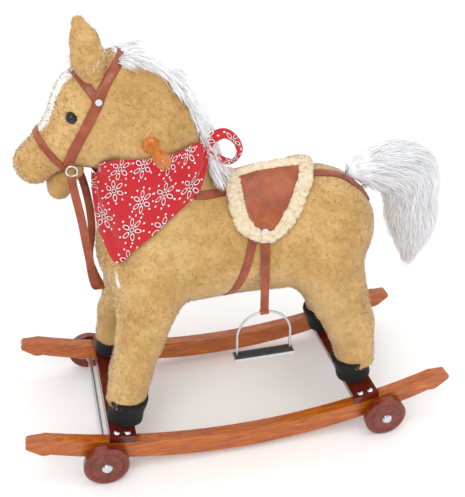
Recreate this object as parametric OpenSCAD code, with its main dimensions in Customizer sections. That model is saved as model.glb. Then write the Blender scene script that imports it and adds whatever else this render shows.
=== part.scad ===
// Plush rocking horse on wooden rockers with side wheels.
// +X points forwards, +Y to the horse's left, +Z up. The origin is on the floor under the middle.

/* [Rockers and wheels] */
// Length over the rockers
rocker_l = 740; // [700:1:760]
// Distance between the outer faces of the rockers
rocker_span = 290; // [284:1:296]
// Thickness of each rocker
rocker_t = 20; // [18:1:22]
// Height of the rocker's top edge at the middle
rocker_top = 46; // [44:1:48]
// Ground clearance of the rocker at the middle
rocker_gap = 10.5; // [9:0.5:12]
// Radius of the rocker's top edge
top_r = 1125; // [1100:5:1150]
// Radius of the rocker's bottom edge
bottom_r = 1012; // [1000:4:1040]
// Distance from the middle to each wheel axle
axle_x = 246; // [240:1:250]
// Radius of a wheel
wheel_r = 37.75; // [37.5:0.25:38]
// Thickness of a wheel
wheel_t = 15.3; // [14:0.1:16]
// Radius of the axle rods
axle_r = 4; // [3.5:0.1:4.5]

/* [Cross boards and legs] */
// Distance from the middle to the centre of each cross board
board_x = 216; // [214:1:218]
// Width of a cross board along the horse
board_w = 44; // [42:1:46]
// Thickness of a cross board
board_t = 14; // [13:0.5:15]
// Height of a hoof
hoof_h = 33; // [30:1:35]
// Radius of a hoof
hoof_r = 29; // [28:0.5:30]
// Sideways distance of the front hooves
front_hoof_y = 95; // [94:1:97]
// Sideways distance of the rear hooves
rear_hoof_y = 80; // [79:1:83]

/* [Plush body] */
// Height of the torso's centre line
body_z = 352; // [350:1:354]
// Radius of the barrel between chest and rump
barrel_r = 98; // [97:0.5:98.5]
// Radius of the chest
chest_r = 105; // [104:0.5:106]
// Radius of the rump
rump_r = 104; // [103:0.5:105]
// Distance of the chest's centre ahead of the middle
chest_x = 115; // [113:1:116]
// Distance of the rump's centre behind the middle
rump_x = 152; // [150:1:153]

/* [Handle and stirrups] */
// Tip to tip length over the two handles
handle_span = 248; // [240:1:252]
// Position of the handles along the horse
handle_x = 127; // [125:1:129]
// Height of the handles
handle_z = 549; // [547:1:551]
// Half width of a stirrup iron
iron_w = 46; // [44:1:48]
// Radius of the stirrup wire
iron_wire = 2; // [1.8:0.1:2.2]

/* [Hidden] */

$fn = 48;
form_fn = 24;

// General clearances: between fixed neighbours, and round moving parts
skin = 0.3;
run = 0.05;

// Colours
lacquer = [0.72, 0.42, 0.12];
mahogany = [0.40, 0.13, 0.06];
raw_wood = [0.80, 0.65, 0.45];
plush = [0.80, 0.65, 0.40];
leather = [0.62, 0.33, 0.20];
steel = [0.75, 0.76, 0.78];
white_fur = [0.95, 0.95, 0.95];
cream = [0.92, 0.88, 0.78];
black = [0.07, 0.07, 0.07];
grey_plastic = [0.35, 0.36, 0.38];
red_cloth = [0.78, 0.10, 0.14];

// ---- helpers ----

module mirrored_y() {
  children();
  mirror([0, 1, 0]) children();
}

// Puts the children on a line from p to q, with their +Z along it
module along(p, q) {
  d = q - p;
  translate(p) rotate([0, acos(d.z / norm(d)), atan2(d.y, d.x)]) children();
}

// A round tapered limb from p to q
module limb(p, q, r_p, r_q) {
  along(p, q) cylinder(h = norm(q - p), r1 = r_p, r2 = r_q);
}

// A cylinder along Y, from y0 to y1, centred on x and z
module pin_y(x, z, r, y0, y1) {
  translate([x, y0, z]) rotate([-90, 0, 0]) cylinder(r = r, h = y1 - y0);
}

// A cylinder along X
module pin_x(y, z, r, x0, x1) {
  translate([x0, y, z]) rotate([0, 90, 0]) cylinder(r = r, h = x1 - x0);
}

// A flat slab through the point [x, 0, z], whose normal leans by angle from +X towards +Z
module slab(x, z, angle, w) {
  translate([x, 0, z]) rotate([0, -angle, 0]) cube([w, 400, 400], center = true);
}

// ---- rockers, boards, axles and wheels ----

rocker_out = rocker_span / 2;
rocker_mid = rocker_out - rocker_t / 2;
toe_x = rocker_l / 2;
toe_r = 8;
board_tilt = asin(board_x / top_r);
board_z = rocker_top + board_x * board_x / (2 * top_r) - 1;
axle_z = wheel_r;
strap_tilt = asin(axle_x / bottom_r);
strap_t = 2;
strap_w = 14;
wheel_gap = 6.7;
wheel_in = rocker_out + wheel_gap;
wheel_out = wheel_in + wheel_t;
cap_h = 8;

module rocker_half_outline() {
  intersection() {
    difference() {
      translate([0, rocker_gap + bottom_r]) circle(r = bottom_r, $fn = 360);
      translate([0, rocker_top + top_r]) circle(r = top_r, $fn = 360);
    }
    translate([-1, 0]) square([toe_x - 29, 120]);
  }
  polygon([[335, 66], [346, 67], [368.6, 84.5], [366, 97], [toe_x - toe_r, 97.5],
    [340, 97.3]]);
  translate([toe_x - toe_r, 89.5]) circle(r = toe_r);
}

// Frame of a cross board: origin at the middle of its underside. end is 1 in front, -1 behind.
module at_board(end) {
  translate([end * board_x, 0, board_z]) rotate([0, -end * board_tilt, 0]) children();
}

module board_blank(end) {
  at_board(end)
    translate([-board_w / 2, -rocker_out, 0]) cube([board_w, rocker_span, board_t]);
}

// Frame of an axle on the rocker's underside
module at_axle(end) {
  translate([end * axle_x, 0, axle_z]) rotate([0, -end * strap_tilt, 0]) children();
}

screw_dx = 9;
screw_y = rocker_out - 9;

module board_screw_places() {
  for (end = [-1, 1], dx = [-screw_dx, screw_dx], side = [-1, 1])
    at_board(end) translate([dx + end * 1, side * screw_y, 0]) children();
}

module strap_screw_places() {
  for (end = [-1, 1], dx = [-16, 16], side = [-1, 1])
    at_axle(end) translate([dx, side * rocker_mid, 0]) children();
}

module rocker() {
  difference() {
    translate([0, rocker_out, 0]) rotate([90, 0, 0]) linear_extrude(rocker_t)
      union() {
        rocker_half_outline();
        mirror([1, 0]) rocker_half_outline();
      }
    for (end = [-1, 1]) {
      board_blank(end);
      pin_y(end * axle_x, axle_z, axle_r + run, 100, 200);
    }
    board_screw_places() translate([0, 0, -14]) cylinder(r = 2, h = 20);
    strap_screw_places() cylinder(r = 1.5, h = 16);
  }
}

module left_rocker() { color(lacquer) rocker(); }
module right_rocker() { color(lacquer) mirror([0, 1, 0]) rocker(); }

module cross_board(end) {
  color(mahogany) difference() {
    board_blank(end);
    board_screw_places() cylinder(r = 2, h = 2 * board_t);
    hoof_places() translate([0, 0, -1]) cylinder(r = 3, h = 2 * board_t, center = true);
  }
}
module front_cross_board() { cross_board(1); }
module rear_cross_board() { cross_board(-1); }

module cross_board_screws() {
  color(steel) board_screw_places() {
    translate([0, 0, -14]) cylinder(r = 2, h = 14 + board_t);
    translate([0, 0, board_t]) intersection() {
      translate([0, 0, -3.2]) sphere(r = 6.2);
      cylinder(r = 6, h = 6);
    }
  }
}

module axle(end) {
  color(steel) pin_y(end * axle_x, axle_z, axle_r, -wheel_out - 4, wheel_out + 4);
}
module front_axle() { axle(1); }
module rear_axle() { axle(-1); }

// Steel strip bent round the axle and screwed to the rocker's underside on both sides of it
module axle_straps() {
  flange_top = 2.45;
  color(steel) for (end = [-1, 1], side = [-1, 1])
    at_axle(end) translate([0, side * rocker_mid + strap_w / 2, 0]) difference() {
      rotate([90, 0, 0]) linear_extrude(strap_w) difference() {
        union() {
          translate([-22, flange_top - strap_t]) square([44, strap_t]);
          circle(r = axle_r + run + strap_t);
        }
        circle(r = axle_r + run);
        translate([-10, flange_top]) square([20, 10]);
        translate([-axle_r - run, 0]) square([2 * (axle_r + run), 10]);
      }
      for (dx = [-16, 16]) translate([dx, -strap_w / 2, -10]) cylinder(r = 1.6, h = 20);
    }
}

module axle_strap_screws() {
  color(steel) strap_screw_places() {
    translate([0, 0, -1.3]) cylinder(r = 3, h = 1.7);
    cylinder(r = 1.5, h = 14);
  }
}

module wheel_spacers() {
  color(steel) for (end = [-1, 1]) mirrored_y() difference() {
    pin_y(end * axle_x, axle_z, axle_r + 2.5, rocker_out + skin, wheel_in - skin);
    pin_y(end * axle_x, axle_z, axle_r, rocker_out - 1, wheel_in + 1);
  }
}

module axle_cap_nuts() {
  color(steel) for (end = [-1, 1]) mirrored_y() difference() {
    translate([end * axle_x, wheel_out + skin, axle_z]) rotate([-90, 0, 0]) {
      cylinder(r = 8.5, h = 2);
      intersection() {
        translate([0, 0, -2]) sphere(r = 9.7);
        cylinder(r = 7.6, h = cap_h);
      }
    }
    pin_y(end * axle_x, axle_z, axle_r, 0, wheel_out + 4);
  }
}

// Turned wheel with a groove near the rim and a raised hub, its outer face towards +Z
module wheel_disc() {
  rotate_extrude() difference() {
    polygon([[axle_r + run, 0], [wheel_r - 1.5, 0], [wheel_r, 1.5],
      [wheel_r, wheel_t - 3], [wheel_r - 2.5, wheel_t - 1], [30, wheel_t - 0.6],
      [13, wheel_t], [axle_r + run, wheel_t]]);
    translate([27.5, wheel_t]) circle(r = 1.8);
  }
}

module wheel(end, side) {
  color(mahogany) mirror([0, side < 0 ? 1 : 0, 0])
    translate([end * axle_x, wheel_in, axle_z]) rotate([-90, 0, 0]) wheel_disc();
}
module front_left_wheel() { wheel(1, 1); }
module front_right_wheel() { wheel(1, -1); }
module rear_left_wheel() { wheel(-1, 1); }
module rear_right_wheel() { wheel(-1, -1); }

// ---- inner frame ----

hoof_dx = 9;
front_knee = [189, 86, 190];
rear_knee = [-193, 74, 200];
front_foot = [203, 93, 112];
rear_foot = [-212, 81, 112];
front_shoulder = [160, 60, 312];
rear_hip = [-150, 54, 318];
bearer_z = 322;
bearer_h = 20;
spine_h = 18;
post_w = 24;
front_post_top = [166, 56, bearer_z];
rear_post_top = [-160, 50, bearer_z];

// Frame of each hoof, origin on the cross board's top face
module hoof_places() {
  for (side = [-1, 1]) {
    at_board(1) translate([-hoof_dx, side * front_hoof_y, board_t]) children();
    at_board(-1) translate([0, side * rear_hoof_y, board_t]) children();
  }
}

function front_post_foot() = [board_x - hoof_dx - board_t * sin(board_tilt),
  front_hoof_y, board_z + board_t - hoof_dx * sin(board_tilt)];
function rear_post_foot() = [-board_x + board_t * sin(board_tilt),
  rear_hoof_y, board_z + board_t];

module post(foot, top) {
  reach = 30;
  d = (top - foot) / norm(top - foot);
  along(foot - reach * d, top + reach * d)
    translate([-post_w / 2, -post_w / 2, 0])
      cube([post_w, post_w, norm(top - foot) + 2 * reach]);
}

// One front and one rear post, cut flat on the cross boards and under the bearers
module left_posts() {
  difference() {
    union() {
      post(front_post_foot(), front_post_top);
      post(rear_post_foot(), rear_post_top);
    }
    translate([-300, 0, bearer_z]) cube([600, 200, 200]);
    for (end = [-1, 1])
      at_board(end) translate([-80, 0, board_t - 100]) cube([160, 200, 100]);
  }
}

module leg_posts() {
  color(raw_wood) difference() {
    mirrored_y() left_posts();
    hoof_places() translate([0, 0, -2]) cylinder(r = 3, h = 32);
  }
}

module leg_bolts() {
  color(steel) hoof_places() {
    translate([0, 0, -board_t]) cylinder(r = 3, h = board_t + 30);
    translate([0, 0, -board_t - 3]) cylinder(r = 7, h = 3);
  }
}

module leg_bearers() {
  color(raw_wood) {
    translate([front_post_top.x - 20, -70, bearer_z]) cube([40, 140, bearer_h]);
    translate([rear_post_top.x - 20, -64, bearer_z]) cube([40, 128, bearer_h]);
  }
}

spine_z = bearer_z + bearer_h;

module frame_spine() {
  color(raw_wood) translate([-185, -22, spine_z]) cube([375, 44, spine_h]);
}

post_top_z = 625;
handle_in = 8;

module neck_post_blank() {
  translate([handle_x - 15, -17, spine_z + spine_h])
    cube([30, 34, post_top_z - spine_z - spine_h]);
}

module neck_post() {
  color(raw_wood) difference() {
    neck_post_blank();
    mirrored_y() pin_y(handle_x, handle_z, 6, handle_in, 20);
  }
}

handle_tip = handle_span / 2;
neck_side = 60;

// Turned handle with a collar where it leaves the neck and a swollen, rounded grip
module handle() {
  grip_r = 10.5;
  translate([handle_x, 0, handle_z]) rotate([-90, 0, 0]) rotate_extrude() {
    translate([0, handle_in]) square([6, 10]);
    polygon([[0, 17], [8.5, 17], [8.5, neck_side + 12], [8.2, neck_side + 22],
      [grip_r, handle_tip - grip_r - 8], [grip_r, handle_tip - grip_r],
      [0, handle_tip - grip_r]]);
    translate([0, neck_side]) square([9, 9]);
    translate([8, neck_side + 4.5]) circle(r = 4);
    intersection() {
      translate([0, handle_tip - grip_r]) circle(r = grip_r);
      translate([0, handle_tip - grip_r - 1]) square(30);
    }
  }
}
module left_handle() { color(lacquer) handle(); }
module right_handle() { color(lacquer) mirror([0, 1, 0]) handle(); }

// ---- plush forms, each grown outwards by g ----

neck_seat_z = 425;

module torso_form(g = 0) {
  translate([chest_x, 0, body_z]) sphere(r = chest_r + g);
  translate([-rump_x, 0, body_z]) sphere(r = rump_r + g);
  pin_x(0, body_z, barrel_r + g, -rump_x, chest_x);
}

module neck_form(g = 0) {
  hull() {
    translate([114, 0, neck_seat_z - 20]) scale([1, 0.72, 1])
      cylinder(r = 93 + g, h = 60, $fn = 48);
    translate([122, 0, 556]) scale([1, 0.74, 1]) cylinder(r = 79 + g, h = 1, $fn = 48);
  }
  hull() {
    translate([122, 0, 556]) scale([1, 0.74, 1]) cylinder(r = 79 + g, h = 1, $fn = 48);
    translate([130, 0, 618]) scale([1, 0.85, 1]) sphere(r = 57 + g, $fn = form_fn);
  }
}

poll = [170, 0, 628];
brow = [212, 0, 604];
cheek = [205, 0, 560];
nose = [257, 0, 547];
muzzle = [299, 0, 517];

module ball(p, r) { translate(p) sphere(r = r, $fn = form_fn); }

module head_top_form(g = 0) {
  hull() {
    ball(poll, 48 + g);
    ball(brow, 50 + g);
    ball(cheek, 54 + g);
  }
}

module head_form(g = 0) {
  head_top_form(g);
  hull() {
    ball(brow, 50 + g);
    ball(cheek, 54 + g);
    ball(nose, 36 + g);
  }
  hull() {
    ball(nose, 36 + g);
    ball(muzzle, 31 + g);
  }
}

// The hollow that each inner piece needs in the stuffing
module frame_hollows() {
  mirrored_y() left_posts();
  leg_bearers();
  frame_spine();
  neck_post_blank();
}

sound_x = 0;
sound_z = 268;
motor_z = 390;
tail_pivot = [-224, 0, 409];

module box_at(p, size) {
  translate(p - [size.x / 2, size.y / 2, 0]) cube(size);
}

module sound_blank() { box_at([sound_x, 0, sound_z], [96, 74, 40]); }
module tail_motor_blank() { box_at([-205, 0, motor_z - 28], [52, 36, 40]); }
module jaw_motor_blank() { box_at([208, 0, 512], [38, 34, 34]); }
module jaw_drive_slot() { box_at([230, 0, 512], [14, 12, 8]); }

// The tail arm's slot: a sector behind its pivot, tall enough for the arm
module tail_slot() {
  for (a = [-16, -8, 0, 8, 16])
    translate(tail_pivot) rotate([0, 0, a])
      translate([-40, -8.5, -6]) cube([40, 17, 19]);
  translate(tail_pivot - [0, 0, 12]) cylinder(r = 9, h = 24);
}

module torso() {
  color(plush) difference() {
    torso_form();
    translate([20, -100, neck_seat_z]) cube([240, 200, 100]);
    frame_hollows();
    sound_blank();
    tail_motor_blank();
    tail_slot();
    mirrored_y() pin_y(stud_x, stud_z, 2, 60, 120);
  }
}

module neck() {
  color(plush) difference() {
    neck_form();
    translate([0, -150, neck_seat_z - 100]) cube([300, 300, 100]);
    head_form();
    neck_post_blank();
    mirrored_y() {
      pin_y(handle_x, handle_z, 8.5, 10, 100);
      pin_y(handle_x, handle_z, 12.5, neck_side - 0.5, 100);
    }
  }
}

jaw_hinge = [240, 0, 503];

module head() {
  color(plush) difference() {
    head_form();
    neck_post_blank();
    jaw_motor_blank();
    jaw_drive_slot();
    mirrored_y() eye_ball(skin);
    jaw_sweep();
    pin_y(jaw_hinge.x, jaw_hinge.z, 2.5, -30, 30);
  }
}

module jaw_form(g = 0) {
  hull() {
    translate(jaw_hinge) rotate([90, 0, 0])
      cylinder(r = 11 + g, h = 36 + 2 * g, center = true, $fn = 32);
    ball([262, 0, 484], 19 + g);
  }
  hull() {
    ball([262, 0, 484], 19 + g);
    ball([267, 0, 471], 17.5 + g);
  }
}

// Room in the head for the jaw from open to shut
jaw_shut = 12;
module jaw_sweep() {
  for (a = [0, jaw_shut / 2, jaw_shut])
    translate(jaw_hinge) rotate([0, -a, 0]) translate(-jaw_hinge) jaw_form(0.8);
}

module lower_jaw() {
  color(plush) difference() {
    jaw_form();
    pin_y(jaw_hinge.x, jaw_hinge.z, 2.5 + run, -40, 40);
  }
}

module jaw_pin() {
  color(steel) pin_y(jaw_hinge.x, jaw_hinge.z, 2.5, -28, 28);
}

eye_r = 8.5;
eye_at = [239, 40.5, 597];
module eye_ball(g = 0) {
  translate(eye_at) sphere(r = eye_r + g);
}
module eyes() { color(black) mirrored_y() eye_ball(); }

button_at = [201, 33, 664];
button_r = 6;
button_travel = 1.5;

ear_root = [197, 31, 644];
near_ear = [[205, 34, 676], [207, 35, 706], [215, 36, 734]];
far_ear = [[204, 36, 662], [204, 40, 680], [208, 45, 698]];

// A leaf of an ear, thin across. spine holds its middle, its shoulder and its tip.
module ear_form(spine) {
  hull() {
    ear_ball(ear_root, 14);
    ear_ball(spine[0], 15.5);
    ear_ball(spine[1], 12);
  }
  hull() {
    ear_ball(spine[1], 12);
    ear_ball(spine[2], 5);
  }
}

module ears_room() {
  ear_form(near_ear);
  mirror([0, 1, 0]) ear_form(far_ear);
}

module ear_ball(p, r) { translate(p) scale([1.35, 0.6, 1]) sphere(r = r, $fn = form_fn); }

module left_ear() {
  color(plush) difference() {
    ear_form(near_ear);
    head_top_form(skin);
    translate(button_at) cylinder(r = button_r + 0.4, h = 6.2, center = true);
  }
}

module right_ear() {
  color(plush) mirror([0, 1, 0]) difference() {
    ear_form(far_ear);
    head_top_form(skin);
  }
}

// Press switch inside the left ear
module ear_button() {
  color(grey_plastic) translate(button_at - [0, 0, 2.9 - button_travel])
    cylinder(r = button_r, h = 2.6);
}

mane_t = 44;

module mane() {
  color(white_fur) difference() {
    translate([0, mane_t / 2, 0]) rotate([90, 0, 0]) linear_extrude(mane_t)
      polygon([[152, 676], [143, 704], [134, 706], [116, 692], [81, 673], [60, 654],
        [45, 630], [37, 606], [29, 580], [21, 556], [11, 531], [6, 505], [2, 482],
        [2, 468], [34, 468], [60, 560], [110, 640]]);
    neck_form(skin);
    head_form(skin);
    neck_band(1.5);
    knot_form(1.5);
    crown_slab(1);
  }
}

module forelock() {
  color(white_fur) difference() {
    hull() {
      ball([176, 0, 682], 12);
      ball([205, 0, 668], 14);
      ball([226, 0, 662], 9);
    }
    head_form(2.7);
    crown_slab(1);
  }
}

// ---- legs and hooves ----

module leg_left(foot, knee, top, r_foot, r_knee, r_top) {
  joint_swell = 0.8;
  limb(foot - [0, 0, 14], knee, r_foot, r_knee);
  translate(knee) sphere(r = r_knee + joint_swell);
  limb(knee, top, r_knee, r_top);
  translate(top) rotate([90, 0, 0]) sphere(r = r_top + joint_swell);
}

// Legs stop this far from the middle plane
leg_inside = 20;

// The chest or the rump, with the barrel behind it
module torso_end(end) {
  translate([end > 0 ? chest_x : -rump_x, 0, body_z])
    sphere(r = end > 0 ? chest_r : rump_r);
  pin_x(0, body_z, barrel_r, end > 0 ? 0 : -rump_x, end > 0 ? chest_x : 0);
}

module leg_trim(end) {
  difference() {
    children();
    torso_end(end);
    mirrored_y() left_posts();
    at_board(end) translate([-80, 0, -50]) cube([160, 200, 50 + board_t + hoof_h]);
    translate([-400, -200, 0]) cube([800, 200 + leg_inside, 500]);
  }
}

module front_leg() {
  color(plush) leg_trim(1)
    leg_left(front_foot, front_knee, front_shoulder, 31, 38, 69);
}
module rear_leg() {
  color(plush) leg_trim(-1) leg_left(rear_foot, rear_knee, rear_hip, 29.5, 39, 66);
}
module front_left_leg() { front_leg(); }
module front_right_leg() { mirror([0, 1, 0]) front_leg(); }
module rear_left_leg() { rear_leg(); }
module rear_right_leg() { mirror([0, 1, 0]) rear_leg(); }

module hooves() {
  color(black) difference() {
    hoof_places() cylinder(r1 = hoof_r, r2 = hoof_r + 1, h = hoof_h);
    mirrored_y() left_posts();
  }
}

// ---- tail ----

module tail_arm() {
  color(grey_plastic) {
    translate(tail_pivot - [0, 0, 4]) cylinder(r = 7, h = 8);
    limb(tail_pivot, tail_arm_end, 4, 4);
  }
}

tail_arm_end = [-268, 0, 424];
tail_crown = [-290, 0, 452];
tail_bend = [-318, 0, 418];
tail_fall = [-322, 0, 340];

module tail() {
  color(white_fur) difference() {
    union() {
      hull() {
        ball([-262, 0, 424], 14);
        ball(tail_crown, 42);
      }
      hull() {
        ball(tail_crown, 42);
        ball(tail_bend, 48);
      }
      hull() {
        ball(tail_bend, 48);
        ball(tail_fall, 44);
      }
      hull() {
        ball(tail_fall, 44);
        ball([-336, 0, 272], 20);
      }
    }
    limb(tail_pivot, tail_arm_end, 4, 4);
  }
}

// ---- bridle and reins ----

strap_px = 14;
bridle_stud = [200, 51.6, 621];

module head_strap(x, z, angle) {
  intersection() {
    difference() {
      head_form(2.4);
      head_form(skin);
      neck_form(skin);
    }
    slab(x, z, angle, strap_px);
  }
}

module browband() {
  color(leather) difference() {
    head_strap(220, 637, -42);
    translate([0, -100, 400]) cube([203, 200, 400]);
    translate([0, -100, 400]) cube([400, 200, 206]);
    ears_room();
    crown_slab(0);
  }
}

// The slice of the head that the strap from the crown to the ring lies in
module crown_slab(g) { slab(bridle_stud.x, bridle_stud.z, 30, strap_px + g); }

module cheek_strap() {
  color(leather) difference() {
    head_strap(bridle_stud.x, bridle_stud.z, 30);
    translate([0, -100, 400]) cube([400, 200, 122]);
    ears_room();
  }
}

module noseband() {
  color(leather) difference() {
    head_strap(275, 538, -34);
    crown_slab(0);
    jaw_sweep();
  }
}

ring_at = [247, 42, 512];
module bridle_rings() {
  color(steel) mirrored_y() translate(ring_at + [0, 2, 4]) rotate([90, 0, 0])
    rotate_extrude() translate([8, 0]) circle(r = 1.5);
}

// Rein: a flat strap from ring to ring that hangs in one loop in front of the chest
rein_w = 13;
rein_t = 2.4;
rein_half = [[248, 45, 496], [246, 45, 478], [243, 44, 456], [240, 42, 430], [238, 40, 404],
  [236, 38, 378], [234, 36, 354], [233, 34, 332], [231, 30, 314], [228, 25, 300],
  [223, 17, 290], [220, 9, 285]];
rein_far = [[220, -9, 285], [223, -17, 290], [227, -25, 300], [230.5, -30, 314],
  [230, -34, 332], [225, -36, 354], [222, -37, 378], [222, -38, 404], [224, -40, 430],
  [228, -42, 456], [234, -44, 478], [242, -45, 496]];
rein_path = concat(rein_half, [[219, 0, 283]],
  rein_far);
rein_sides = 8;

function unit(v) = v / norm(v);
function rein_tangent(i) =
  unit(rein_path[min(i + 1, len(rein_path) - 1)] - rein_path[max(i - 1, 0)]);
function rein_across(i) =
  unit([1, 0, 0] - ([1, 0, 0] * rein_tangent(i)) * rein_tangent(i));
function rein_ring(i) = [for (k = [0:rein_sides - 1])
  rein_path[i]
    + rein_across(i) * rein_w / 2 * cos(360 * (k + 0.5) / rein_sides) / cos(22.5)
    + cross(rein_tangent(i), rein_across(i)) * rein_t / 2
      * sin(360 * (k + 0.5) / rein_sides) / sin(67.5)];

module reins() {
  n = len(rein_path);
  points = [for (i = [0:n - 1]) each rein_ring(i)];
  sides = [for (i = [0:n - 2], k = [0:rein_sides - 1])
    [i * rein_sides + k, i * rein_sides + (k + 1) % rein_sides,
      (i + 1) * rein_sides + (k + 1) % rein_sides, (i + 1) * rein_sides + k]];
  caps = [[for (k = [rein_sides - 1:-1:0]) k],
    [for (k = [0:rein_sides - 1]) (n - 1) * rein_sides + k]];
  color(leather) polyhedron(points = points, faces = concat(sides, caps));
}

// ---- saddle and body straps, as layers round the barrel ----

girth_in = barrel_r + 0.15;
girth_out = barrel_r + 1.75;
hang_in = barrel_r + 2.3;
hang_out = barrel_r + 4.1;
flap_in = barrel_r + 5.5;
flap_out = barrel_r + 7.9;
fleece_out = barrel_r + 13.5;
seat_out = barrel_r + 19;
stud_x = -36;
stud_z = 404;

module tube_x(r_in, r_out, x0, x1) {
  difference() {
    pin_x(0, body_z, r_out, x0, x1);
    pin_x(0, body_z, r_in, x0 - 1, x1 + 1);
  }
}

function arc(c, r, from, to, n) =
  [for (i = [0:n]) c + r * [cos(from + (to - from) * i / n), sin(from + (to - from) * i / n)]];

// Outline of the saddle from the side, grown outwards by g: a U cut away towards the rear
module saddle_outline(g) {
  polygon(concat([[-121 - g, 480], [-10.5 + g, 480]],
    arc([-34, 424], 23.5 + g, 0, -90, 8), arc([-52, 412], 12 + g, -90, -132, 4),
    [[-113 - 0.67 * g, 452 - 0.74 * g], [-121 - g, 458]]));
}

module saddle_sides(g) {
  translate([0, 150, 0]) rotate([90, 0, 0]) linear_extrude(300) saddle_outline(g);
}

seat_low = 440;
fleece_w = 18;

module saddle_flaps() {
  color(leather) difference() {
    intersection() {
      tube_x(flap_in, flap_out, -150, 60);
      saddle_sides(0);
    }
    translate([-200, -200, seat_low]) cube([300, 400, 200]);
    mirrored_y() pin_y(stud_x, stud_z, 2, 60, 120);
  }
}

module saddle_seat() {
  color(leather) intersection() {
    tube_x(flap_in, seat_out, -150, 60);
    saddle_sides(0);
    difference() {
      translate([-200, -200, seat_low + skin]) cube([300, 400, 200]);
      fleece_ridge(skin);
    }
  }
}

// Fleece that shows along the ridge, between the two leather panels
module fleece_ridge(g) { pin_x(0, body_z + seat_out - 4, 8 + g, -128, 2); }

module fleece_trim() {
  color(cream) difference() {
    union() {
      difference() {
        intersection() {
          tube_x(flap_in, fleece_out, -160, 60);
          saddle_sides(fleece_w);
        }
        saddle_sides(skin);
      }
      fleece_ridge(0);
    }
    neck_form(skin);
    torso_form(2.4);
    mirrored_y() pin_y(stud_x, stud_z, 5.5 + skin, 60, 120);
  }
}

module girth_strap() {
  color(leather) difference() {
    intersection() {
      tube_x(girth_in, girth_out, -60, 60);
      slab(4, 310, 15, strap_px);
    }
    translate([-100, -150, 400]) cube([200, 300, 200]);
  }
}

module breast_strap() {
  color(leather) mirrored_y() intersection() {
    tube_x(girth_in, girth_out, 0, 80);
    translate([0, 0, 400]) linear_extrude(80)
      polygon([[6, 26], [28, 33], [40, 45], [62, 60], [56, 71], [32, 57], [22, 46],
        [6, 39]]);
  }
}

// Strap along the top of the rump, from the saddle to the tail
module crupper_strap() {
  color(leather) intersection() {
    difference() {
      torso_form(2.1);
      torso_form(0.2);
    }
    translate([-228, -10, 400]) cube([92, 20, 100]);
  }
}

module tack_studs() {
  color(steel) {
    mirrored_y() difference() {
      union() {
        pin_y(stud_x, stud_z, 2, 70, 93);
        pin_y(stud_x, stud_z, 5.5, 80, 96);
      }
      difference() {
        pin_x(0, body_z, flap_out + 0.05, -60, 0);
        pin_y(stud_x, stud_z, 2, 0, 120);
      }
    }
    mirrored_y() pin_y(bridle_stud.x, bridle_stud.z, 5, bridle_stud.y, bridle_stud.y + 2.5);
  }
}

// ---- bandana ----

module knot_form(g = 0) {
  difference() {
    hull() {
      ball([6, 12, 522], 10 + g);
      ball([-4, 34, 513], 8 + g);
    }
    neck_form(skin);
  }
}

module neck_band(g) {
  intersection() {
    difference() {
      neck_form(5 + g);
      neck_form(skin);
    }
    translate([110, 0, 494]) rotate([0, -4, 0])
      cube([300, 300, 46 + 2 * g], center = true);
  }
}

module bandana() {
  color(red_cloth) difference() {
    union() {
      neck_band(0);
      difference() {
        hull() {
          ball([80, 62, 490], 4);
          ball([214, 6, 500], 5);
          ball([219, 30, 400], 5);
          ball([196, 84, 384], 5);
        }
        neck_form(skin);
      }
      knot_form();
    }
    head_form(skin);
    torso_form(3);
    pin_y(handle_x, handle_z, 14, 0, 200);
    mirrored_y() leg_left(front_foot, front_knee, front_shoulder, 32, 39, 70);
  }
}

// ---- stirrups ----

iron_top_z = 257;
iron_y = (hang_in + hang_out) / 2;
loop_r = iron_wire + 0.8;
hang_w = 14;

// Leather that follows the barrel down from its stud and ends in a loop for the iron
module stirrup_strap() {
  difference() {
    union() {
      intersection() {
        tube_x(hang_in, hang_out, stud_x - hang_w / 2, stud_x + hang_w / 2);
        translate([stud_x - 20, 0, body_z]) cube([40, 150, stud_z - body_z]);
      }
      intersection() {
        tube_x(hang_in, hang_out, stud_x - hang_w / 2, stud_x + hang_w / 2);
        pin_y(stud_x, stud_z, hang_w / 2, 60, 120);
      }
      translate([stud_x - hang_w / 2, hang_in, iron_top_z + 3])
        cube([hang_w, hang_out - hang_in, body_z - iron_top_z - 3]);
      pin_x(iron_y, iron_top_z, loop_r + 2, stud_x - hang_w / 2, stud_x + hang_w / 2);
    }
    pin_x(iron_y, iron_top_z, loop_r, stud_x - 20, stud_x + 20);
    pin_y(stud_x, stud_z, 2 + run, 60, 120);
  }
}
module left_stirrup_strap() { color(leather) stirrup_strap(); }
module right_stirrup_strap() { color(leather) mirror([0, 1, 0]) stirrup_strap(); }

iron_leg = 36;
tread_t = 5;
tread_w = 22;

// Arched wire with a flat tread
module stirrup_iron() {
  translate([stud_x, iron_y, iron_top_z - iron_w]) {
    rotate([90, 0, 0]) rotate_extrude(angle = 180) translate([iron_w, 0])
      circle(r = iron_wire);
    for (side = [-1, 1])
      translate([side * iron_w, 0, -iron_leg]) cylinder(r = iron_wire, h = iron_leg);
    translate([-iron_w - 6, -tread_w / 2, -iron_leg - tread_t])
      cube([2 * iron_w + 12, tread_w, tread_t]);
  }
}
module left_stirrup_iron() { color(steel) stirrup_iron(); }
module right_stirrup_iron() { color(steel) mirror([0, 1, 0]) stirrup_iron(); }

// ---- sound and movement units inside ----

module sound_box() {
  color(grey_plastic) difference() {
    sound_blank();
    translate([sound_x - 44, -33, sound_z + 3]) cube([88, 66, 34]);
  }
  color(grey_plastic) for (i = [-1:1])
    pin_x(i * 18, sound_z + 12, 7.2, sound_x - 25, sound_x + 25);
  color(grey_plastic) translate([sound_x, 0, sound_z + 26]) cylinder(r = 26, h = 8);
}

module gear_motors() {
  color(grey_plastic) {
    tail_motor_blank();
    jaw_motor_blank();
  }
}

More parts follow.
